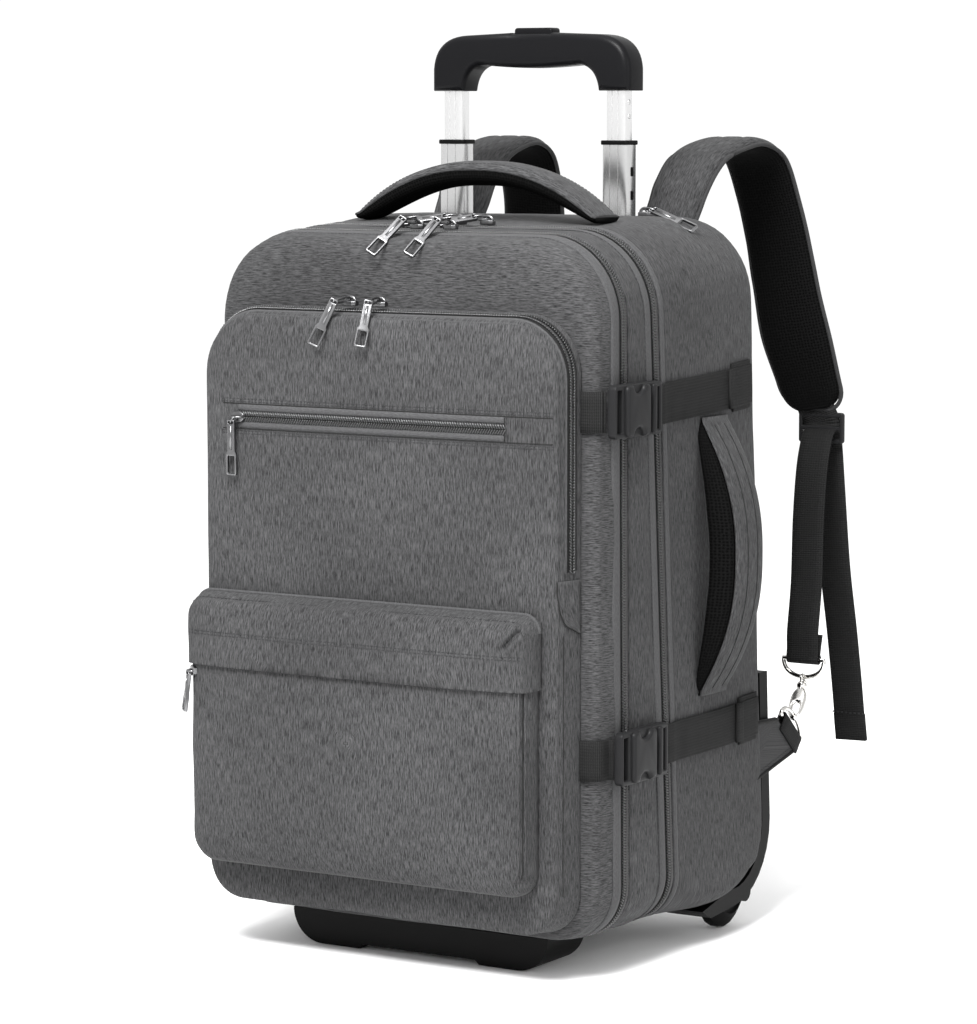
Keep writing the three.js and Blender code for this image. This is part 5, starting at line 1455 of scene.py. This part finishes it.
# A buckle lies on the bag's side. Its outline runs from its fork, at the front, to the tongue with
# the fixed bar at its back, waisted where a finger and thumb press the arms in.
def buckle_at(name, node_name, sign, front, z):
    seat = max(side_x(front, z), side_x(front + BUCKLE_LONG / 2, z), side_x(front + BUCKLE_LONG, z))
    centre = (sign * (seat + BUCKLE_LIFT + BUCKLE_THICK / 2), front, z)
    h, long = BUCKLE_HIGH / 2, BUCKLE_LONG
    slot_half = WEB / 2 + 0.6
    base = [
        rounded(long / 2, h, 4, centre=(long / 2, 0)),
        rounded(3.4, slot_half, 0.8, centre=(6.6, 0)),
        rounded(2.4, slot_half, 0.8, centre=(long - 6.2, 0)),
    ]
    plate(
        name, base, BUCKLE_THICK - 3.0, 1.2, (centre[0] - sign * 0.8, front, z), (0, 1, 0), (0, 0, 1),
        buckle_plastic, "black_plastic", node_name,
    )
    # The body is full and round, with a scoop at its top and foot where the arms are pressed in.
    start, stop, reach, scoop = 13.5, 47.0, h - 0.6, 8.0
    middle = (start + stop) / 2
    arc = [math.pi * (1 + k / 12) for k in range(13)]
    top = bend((start, reach - 5), (start, reach), (start + 5, reach), 5) + [(start + 5, reach)]
    top += [(middle + scoop * math.cos(a), reach + scoop * 0.8 * math.sin(a)) for a in arc]
    top += [(stop - 5, reach)] + bend((stop - 5, reach), (stop, reach), (stop, reach - 5), 5) + [(stop, reach - 5)]
    shell = top + [(u, -v) for u, v in reversed(top)]
    out = sign * (BUCKLE_THICK / 2 - 2.6)
    plate(
        name + "_shell", [shell], 7.0, 2.6, (centre[0] + out, front, z), (0, 1, 0), (0, 0, 1),
        buckle_plastic, "black_plastic", rounding=5, turned=60,
    )
    plate(
        name + "_bar", [rounded(2.6, h - 1.5, 1.8)], 5.4, 1.6, (centre[0] + out, front + 54.6, z), (0, 1, 0), (0, 0, 1),
        buckle_plastic, "black_plastic", rounding=4, turned=60,
    )


for tag, sign in (("right", 1), ("left", -1)):
    for level, z, buckle_front, climb in (("upper", 423, -113, 8), ("lower", 170, -103, 3)):
        back = buckle_front + BUCKLE_LONG + 1.4 - 8
        side_web(
            f"side_web_{level}_{tag}", f"compression_web_rear_{level}_{tag}", sign, back, depth_of("rear_edge", z) - 1,
            z, z + climb,
        )
        front_web(f"front_web_{level}_{tag}", f"compression_web_front_{level}_{tag}", sign, buckle_front + 2, z)
        buckle_at(f"side_buckle_{level}_{tag}", f"compression_buckle_{level}_{tag}", sign, buckle_front, z)
        # The web's folded end is sewn down near the back edge, over a wider patch of webbing.
        fold_y = depth_of("rear_edge", z) - 34
        fold_z = z + climb * (fold_y - back) / (depth_of("rear_edge", z) - 1 - back)
        path = [
            (sign * (side_x(y, z) + 3.6), y, fold_z + climb * (y - fold_y) / 150) for y in (fold_y - 9, fold_y - 4, fold_y, fold_y + 1.5)
        ]
        patch_path = []
        for k in range(9):
            y = fold_y + (depth_of("rear_edge", z) - 2 - fold_y) * k / 8
            patch_path.append((sign * (side_x(y, z) + 1.1), y, fold_z + climb * (y - fold_y) / 150))
        patch = sweep(f"web_patch_{level}_{tag}", patch_path, (0, 0, 1), lambda t: ribbon(WEB + 7, 1.4), webbing)
        fit(patch, "black_webbing")
        fold = sweep(f"web_fold_{level}_{tag}", path, (0, 0, 1), lambda t: ribbon(WEB + 0.3, 2.2), webbing)
        fit(fold, "black_webbing")


# Shoulder straps: a padded band each, heather outside and mesh inside, bound at its edges. Its end
# carries a ladder lock, and the webbing from there clips to the bag's lower back corner.
PAD_ROUTE = (
    (97, 110, 552, 44), (97, 119, 566, 46), (98, 130, 583, 48), (99, 150, 600, 50), (102, 178, 609, 52),
    (104, 206, 611, 53), (107, 231, 599, 54), (110, 247, 568, 54), (114, 256, 535, 55), (118, 262, 500, 57),
    (124, 270, 456, 61), (131, 281, 416, 56), (134, 284, 398, 30),
)
PAD_THICK = 12
STRAP_RING = (158, 222, 203.5)
WEB_TURN = 3.1
RX, RY, RZ = STRAP_RING
LX, LY, LZ = 139.5, 286, 395.5
WEB_ROUTE = (
    (RX - 1.2, RY + 4.6 + WEB_TURN, RZ + 18.5), (RX - 0.6, RY + WEB_TURN, RZ + 4.5), (RX, RY + WEB_TURN, RZ),
    (RX, RY + WEB_TURN * 0.7, RZ - WEB_TURN * 0.7), (RX, RY, RZ - WEB_TURN),
    (RX, RY - WEB_TURN * 0.7, RZ - WEB_TURN * 0.7), (RX, RY - WEB_TURN, RZ), (RX - 1, RY - 0.5, RZ + 8.5),
    (RX - 2.4, RY + 2.5, RZ + 22.5), (151, 239, 262), (147, 249, 310), (143, 262, 350),
    (LX + 1, LY - 12, LZ - 23.5), (LX, LY - 5, LZ - 16), (LX, LY, LZ - 14), (LX + 0.1, LY + 5.5, LZ - 16),
    (LX + 0.5, LY + 8, LZ - 23.5), (144, 293, 330), (147, 297, 270), (149, 307, 215), (151, 315, 160), (152, 319, 124),
)
nickel, _, nickel_shader = surface("bright_nickel", 0.13, metallic=1.0)
nickel_shader.inputs["Base Color"].default_value = (0.56, 0.55, 0.53, 1)
piping_cloth = plain_weave("piping_cloth", (0.020, 0.020, 0.0205, 1), rib=700.0)


def pad_shape(sign):
    path = smooth_path([(sign * x, y, z) for x, y, z, _ in PAD_ROUTE], 7)
    widths = [row[3] for row in PAD_ROUTE]

    def half_width(t):
        at_row = t * (len(widths) - 1)
        i = min(int(at_row), len(widths) - 2)
        share = at_row - i
        share = share * share * (3 - 2 * share) if i < len(widths) - 2 else share ** 1.6
        return (widths[i] + (widths[i + 1] - widths[i]) * share) / 2

    return path, half_width


def pad_section(half_width, outer):
    def profile(t):
        w = half_width(t)
        thick = PAD_THICK * (1 - 0.4 * min(max((t - 0.93) / 0.05, 0), 1))
        top = []
        for k in range(13):
            u = -1 + k / 6
            full = (1 - abs(u) ** 5) ** 0.5
            furrow = 0.16 * math.exp(-((abs(u) - 0.30) / 0.06) ** 2)
            top.append((u * w, thick / 2 * max(full - (furrow if outer else 0), 0.16)))
        if outer:
            return top + [(w - 0.6, -0.4), (0, -0.2), (-w + 0.6, -0.4)]
        return [(-w * 0.975, 0.2), (w * 0.975, 0.2)] + [(u * 0.975, -v) for u, v in reversed(top)]

    return profile


for tag, sign in (("right", 1), ("left", -1)):
    path, half_width = pad_shape(sign)
    outer = sweep(f"shoulder_pad_cloth_{tag}", path, (1, 0, 0), pad_section(half_width, True), heather_strap_painted_shade)
    # Along the route, the side turned up and away from the bag carries the heather cloth.
    inner = sweep(f"shoulder_pad_mesh_{tag}", path, (1, 0, 0), pad_section(half_width, False), air_mesh)
    fit(outer, "grey_heather", f"shoulder_pad_{tag}")
    fit(inner, "air_mesh")
    count = len(path)
    sides = [[(x + edge * half_width(k / (count - 1)), y, z) for k, (x, y, z) in enumerate(path)] for edge in (-1, 1)]
    edge_path = sides[0] + sides[1][::-1]
    cord_along(f"shoulder_pad_binding_{tag}", edge_path, 1.7, piping_cloth, "grey_heather", across=(0.15, 0.9, 0.3))
    lock_loop = [(133.6, 283.4, 404), (136, 285, 396), (138.5, 286.8, 389), (LX - 0.4, LY + 1.2, LZ - 10), (LX, LY, LZ - 13)]
    lock_loop = smooth_path([(sign * x, y, z) for x, y, z in lock_loop], 4)
    tab = sweep(f"lock_loop_{tag}", lock_loop, (1, 0, 0), lambda t: ribbon(33, 3.4), webbing)
    fit(tab, "black_webbing")
    route = smooth_path([(sign * x, y, z) for x, y, z in WEB_ROUTE], 5)
    strap = sweep(f"strap_web_{tag}", route, (1, 0, 0), lambda t: ribbon(28, 1.8), webbing)
    fit(strap, "black_webbing", f"strap_webbing_{tag}")
    # The tail's end is folded over and sewn, and so is the end above the ring.
    hem = [(sign * 151.35, 317.1, 146), (sign * 151.6, 318.0, 138), (sign * 152, 320.3, 124.2)]
    fit(sweep(f"strap_tail_hem_{tag}", hem, (1, 0, 0), lambda t: ribbon(28.4, 3.2), webbing), "black_webbing")
    for k in range(2):
        z = 147.5 - 0.8 * k
        y = 316.9 + 0.2 * k
        seam_path = line((sign * 138, y - 2.2, z), (sign * 165, y - 2.2, z), 12)
        stitches(f"strap_tail_stitches_{tag}_{k + 1}", (seam_path, [(0, -1, 0)] * 13), slot="black_webbing")
    lock_frame = [rounded(20, 12.5, 2.5, centre=(0, -12.5)), rounded(17, 3.6, 0.8, centre=(0, -8 + 0.4)),
                  rounded(17, 3.4, 0.8, centre=(0, -18.2))]
    plate(
        f"ladder_lock_frame_{tag}", lock_frame, 4.5, 1.1, (sign * LX, LY, LZ), (sign, 0, 0), (0, 0, 1),
        buckle_plastic, "black_plastic", f"ladder_lock_{tag}",
    )

# The lower clips: a wire ring in the webbing's loop, a snap hook with a swivelling eye, and a second
# ring held by the webbing loop of a cloth tab.
TAB_OUT_TOP, TAB_OUT_BOTTOM = Vector((0, 161, 166)), Vector((0, 197, 134))
TAB_ALONG = (TAB_OUT_BOTTOM - TAB_OUT_TOP).normalized()
TAB_OUT = Vector((0, -TAB_ALONG.z, TAB_ALONG.y))
TAB_X, RING_SEAT, RING_SHIFT = 165.2, 6.8, 2
TAB_MIDDLE = (TAB_OUT_TOP + TAB_OUT_BOTTOM) / 2


def tab_point(sign, out, along):
    return TAB_MIDDLE + Vector((sign * TAB_X, 0, 0)) + TAB_OUT * out + TAB_ALONG * along


def wire_ring(name, node_name, middle, along, bulge, half, depth, wire=1.8):
    along, bulge = Vector(along), Vector(bulge)
    points = []
    for k in range(25):
        angle = math.pi * k / 24
        points.append(middle + along * half * math.cos(angle) + bulge * depth * math.sin(angle) ** 0.8)
    points += [middle + along * half * share for share in (-0.75, -0.4, 0, 0.4, 0.75)]
    normal = along.cross(bulge).normalized()
    ring = sweep(name, [tuple(p) for p in points], tuple(normal), lambda t: circle(wire, 12), nickel, closed=True)
    return fit(ring, "nickel", node_name)


def ball(name, centre, radii, material, slot, frame_axes=None, *nodes):
    mesh = bmesh.new()
    bmesh.ops.create_uvsphere(mesh, u_segments=20, v_segments=12, radius=1)
    mesh.transform(Matrix.Diagonal((*(r / 1000 for r in radii), 1)))
    if frame_axes:
        x, y, z = (Vector(v).normalized() for v in frame_axes)
        mesh.transform(Matrix((x, y, z)).transposed().to_4x4())
    mesh.transform(Matrix.Translation(at(*centre)))
    data = bpy.data.meshes.new(name)
    mesh.to_mesh(data)
    mesh.free()
    data.shade_smooth()
    data.materials.append(material)
    made = bpy.data.objects.new(name, data)
    bpy.context.collection.objects.link(made)
    return fit(made, slot, *nodes)


for tag, sign in (("right", 1), ("left", -1)):
    ring_middle = Vector((sign * RX, RY, RZ))
    wire_ring(f"strap_ring_wire_{tag}", f"strap_ring_{tag}", ring_middle, (1, 0, 0), (0, 0, -1), 18, 14.5)
    seat = tab_point(sign, RING_SEAT, RING_SHIFT)
    wire_ring(f"tab_ring_wire_{tag}", f"tab_ring_{tag}", seat, TAB_ALONG, TAB_OUT, 20.5, 11)
    eye = ring_middle + Vector((0, 0, -14.5 - 1.2))
    end = seat + TAB_OUT * 11
    down = (end - eye).normalized()
    across = Vector((sign, 0, 0)) - down * down.x * sign
    across.normalize()
    third = across.cross(down).normalized()
    eye_path = [eye + down * (3.4 * (1 - math.cos(a)) - 1.6) + third * 4.4 * math.sin(a) for a in
                (2 * math.pi * k / 20 for k in range(20))]
    eye_wire = sweep(f"hook_eye_{tag}", [tuple(p) for p in eye_path], tuple(across), lambda t: circle(1.5, 10), nickel, closed=True)
    fit(eye_wire, "nickel")
    long = (end - eye).length
    ball(f"hook_knob_{tag}", tuple(eye + down * 8.2), (4.4, 3.6, 4.4), nickel, "nickel", (across, down, third))
    neck = [tuple(eye + down * s) for s in (6, 9.5, 11.5, 13)]
    fit(sweep(f"hook_neck_{tag}", neck, tuple(across), lambda t: circle(2.3, 12), nickel), "nickel")
    # The hook's leaf-shaped body, with its throat round the lower ring and a sprung gate beside it
    top_v, low_v = 11.5, long + 4.0
    leaf_right = bend((2.4, top_v), (7.2, top_v + 4), (6.4, (top_v + low_v) / 2), 8)
    leaf_right += bend((6.4, (top_v + low_v) / 2), (6.0, low_v - 1), (0.2, low_v), 8) + [(0, low_v)]
    leaf = leaf_right + [(-u, v) for u, v in reversed(leaf_right[:-1])]
    throat_right = bend((0, low_v - 18), (3.1, low_v - 16.5), (3.1, low_v - 12), 5)
    throat_right += [(3.1, low_v - 12), (3.1, low_v - 6)] + bend((3.1, low_v - 6), (2.9, low_v - 3.2), (0, low_v - 3), 5)
    throat = throat_right + [(0, low_v - 3)] + [(-u, v) for u, v in reversed(throat_right[1:])]
    plate(
        f"hook_body_{tag}", [leaf, throat], 4.4, 1.5, tuple(eye), tuple(across), tuple(down),
        nickel, "nickel", f"snap_hook_{tag}", rounding=4, turned=50,
    )
    ball(f"hook_stud_{tag}", tuple(eye + down * (top_v + 5.5) + third * 2.2), (1.7, 1.7, 1.1), nickel, "nickel",
         (across, down, third))

    # The tab: two layers of heather cloth with a bound edge, and the webbing loop sewn over it
    flap_outline = [(113, 118), (195.5, 134.6), (160.2, 165.4), (113, 167.4)]
    plate(
        f"strap_tab_cloth_{tag}", [flap_outline], 3.2, 1.2, (sign * TAB_X, 0, 0), (0, 1, 0), (0, 0, 1),
        heather_along, "grey_heather", f"strap_tab_{tag}",
    )
    loop_points = []
    for k in range(17):
        a = -math.pi / 2 + math.pi * k / 16
        loop_points.append(tab_point(sign, RING_SEAT + 2.9 * math.cos(a), RING_SHIFT) + Vector((2.9 * math.sin(a), 0, 0)))
    legs = [tab_point(sign, out, RING_SHIFT) + Vector((-2.9, 0, 0)) for out in (-6, -2, 3)]
    back_legs = [tab_point(sign, out, RING_SHIFT) + Vector((2.9, 0, 0)) for out in (3, -2, -6)]
    loop_path = [tuple(p) for p in legs + loop_points + back_legs]
    loop = sweep(f"tab_loop_{tag}", loop_path, tuple(TAB_ALONG), lambda t: ribbon(35, 1.8), webbing)
    fit(loop, "black_webbing")
    for edge_name, a, b in (("low", (118, 119.5), (193.5, 135.9)), ("high", (118, 165.7), (160.5, 163.8))):
        run = line((sign * (TAB_X + 1.9), *a), (sign * (TAB_X + 1.9), *b), 24)
        cord_along(f"tab_binding_{edge_name}_{tag}", run, 1.3, zip_tape, "grey_heather")
    run = line((sign * (TAB_X + 1.7), 126, 125.5), (sign * (TAB_X + 1.7), 186, 138.5), 22)
    stitches(f"tab_stitches_{tag}", (run, [(sign, 0, 0)] * 23))


# Zip sliders, each with a bridge, a link and a stamped pull with an open end. A slider's place comes
# first, then its pull's two ends, measured from there, and the way its face looks.
gunmetal, _, gunmetal_shader = surface("satin_gunmetal", 0.3, metallic=1.0)
gunmetal_shader.inputs["Base Color"].default_value = (0.15, 0.15, 0.153, 1)
PULLS = (
    ("front_a", (-8, -85.6, 550.4), (-3, -13.9, 9.1), (-14, -42.9, -16.9), (0, 0, 1)),
    ("front_b", (21, -85.6, 550.4), (-2, -13.4, 8.6), (-10, -42.4, -17.4), (0, 0, 1)),
    ("main_a", (2, -43.5, 552.9), (-7, -5.5, 6.1), (-40, -19.5, 1.6), (0, 0, 1)),
    ("main_b", (27, -43.5, 552.9), (-6, -5.5, 6.1), (-29, -22.5, 1.6), (0, 0, 1)),
    ("organizer_a", (-39, -128.8, 494.4), (-4, -14.7, 5.6), (-17, -25.2, -28.4), (0, 0, 1)),
    ("organizer_b", (-13, -128.8, 494.4), (0, -14.7, 5.6), (-2, -24.2, -28.4), (0, 0, 1)),
    ("slash", (-128, -146, 410), (-3, -7, -2), (-4, -5, -44), (0, -1, 0)),
    ("pocket", (-156.5, -164.7, 218), (-3.5, -4.3, -1), (-7.5, -5.3, -31), (-0.655, -0.756, 0)),
    ("rear", (103, 61, 557.6), (6, 0, 5.4), (45, -4, -8.6), (0, 0, 1)),
)
PULL_FACING = {"front": (0.5, -0.5, 0.7), "main": (0.3, -0.5, 0.8), "organizer": (0.5, -0.85, 0.2), "rear": (0.4, -0.6, 0.7)}
PULL_HALF, PULL_THICK, PULL_RIM = 4.6, 2.8, 1.5


def zip_pull(label, place, start, stop, up):
    place, up = Vector(place), Vector(up).normalized()
    facing = PULL_FACING.get(label.split("_")[0], up)
    start, stop = place + Vector(start), place + Vector(stop)
    along = stop - start
    length = along.length
    along.normalize()
    across = Vector(facing).cross(along).normalized()
    face = across.cross(along).normalized()
    split, slim = length * 0.62, PULL_HALF * 0.72
    right = [(slim * 0.8, 0), (slim, 0.8), (slim, split - 2.4), (PULL_HALF, split)]
    right += [(PULL_HALF, length - 1.6)] + bend((PULL_HALF, length - 1.6), (PULL_HALF, length), (PULL_HALF - 1.6, length), 4)
    right.append((PULL_HALF - 1.6, length))
    outline = right + [(-u, v) for u, v in reversed(right)]
    hole = rounded(PULL_HALF - PULL_RIM, (length - split) / 2 - PULL_RIM * 0.9, 0.7, 4, centre=(0, (split + length) / 2))
    eye = rounded(slim - 1.1, 1.0, 0.8, 4, centre=(0, 2.2))
    plate(
        f"zip_pull_{label}", [outline, hole, eye], PULL_THICK, 0.6, tuple(start), tuple(across), tuple(along),
        gunmetal, "gunmetal", f"pull_{label}",
    )
    crest = [tuple(start + along * v - face * (PULL_THICK / 2)) for v in (4.6, split * 0.5, split - 3.4)]
    fit(sweep(f"pull_crest_{label}", crest, tuple(across), lambda t: circle(1.0, 10, 0.55), gunmetal), "gunmetal")
    runs = up.cross(Vector((0, 0, 1) if abs(up.z) < 0.5 else (0, 1, 0))).normalized()
    over = up.cross(runs).normalized()
    nose = [(-5.6, 2.2), (-3.2, 4.0), (3.0, 4.0), (5.0, 2.9), (5.6, 1.2)]
    slider = nose + [(u, -v) for u, v in reversed(nose)]
    plate(
        f"slider_{label}", [slider], 3.6, 0.8, tuple(place + up * 2.0), tuple(runs), tuple(over),
        gunmetal, "gunmetal",
    )
    arch = [tuple(place + up * (3.4 + 3.2 * math.sin(math.pi * k / 12)) + runs * (4.2 * math.cos(math.pi * k / 12))) for k in range(13)]
    fit(sweep(f"slider_bridge_{label}", arch, tuple(over), lambda t: circle(1.0, 10, 1.3), gunmetal), "gunmetal")
    knob = place + up * 5.6
    hold = start + along * 2.2
    middle, reach = (knob + hold) / 2, (hold - knob)
    side = reach.normalized().cross(across)
    if side.length < 0.1:
        side = up
    side.normalize()
    ring = []
    for k in range(16):
        a = 2 * math.pi * k / 16
        ring.append(tuple(middle + reach * 0.55 * math.cos(a) + side * 1.9 * math.sin(a)))
    ring_wire = sweep(f"pull_link_{label}", ring, tuple(across), lambda t: circle(0.75, 8), gunmetal, closed=True)
    fit(ring_wire, "gunmetal")


for label, place, start, stop, up in PULLS:
    zip_pull(label, place, start, stop, up)


# The outer box of the CAD solids and of the dressed bag
size = [[list(corner) for corner in pair] for pair in (cad_box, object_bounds())]
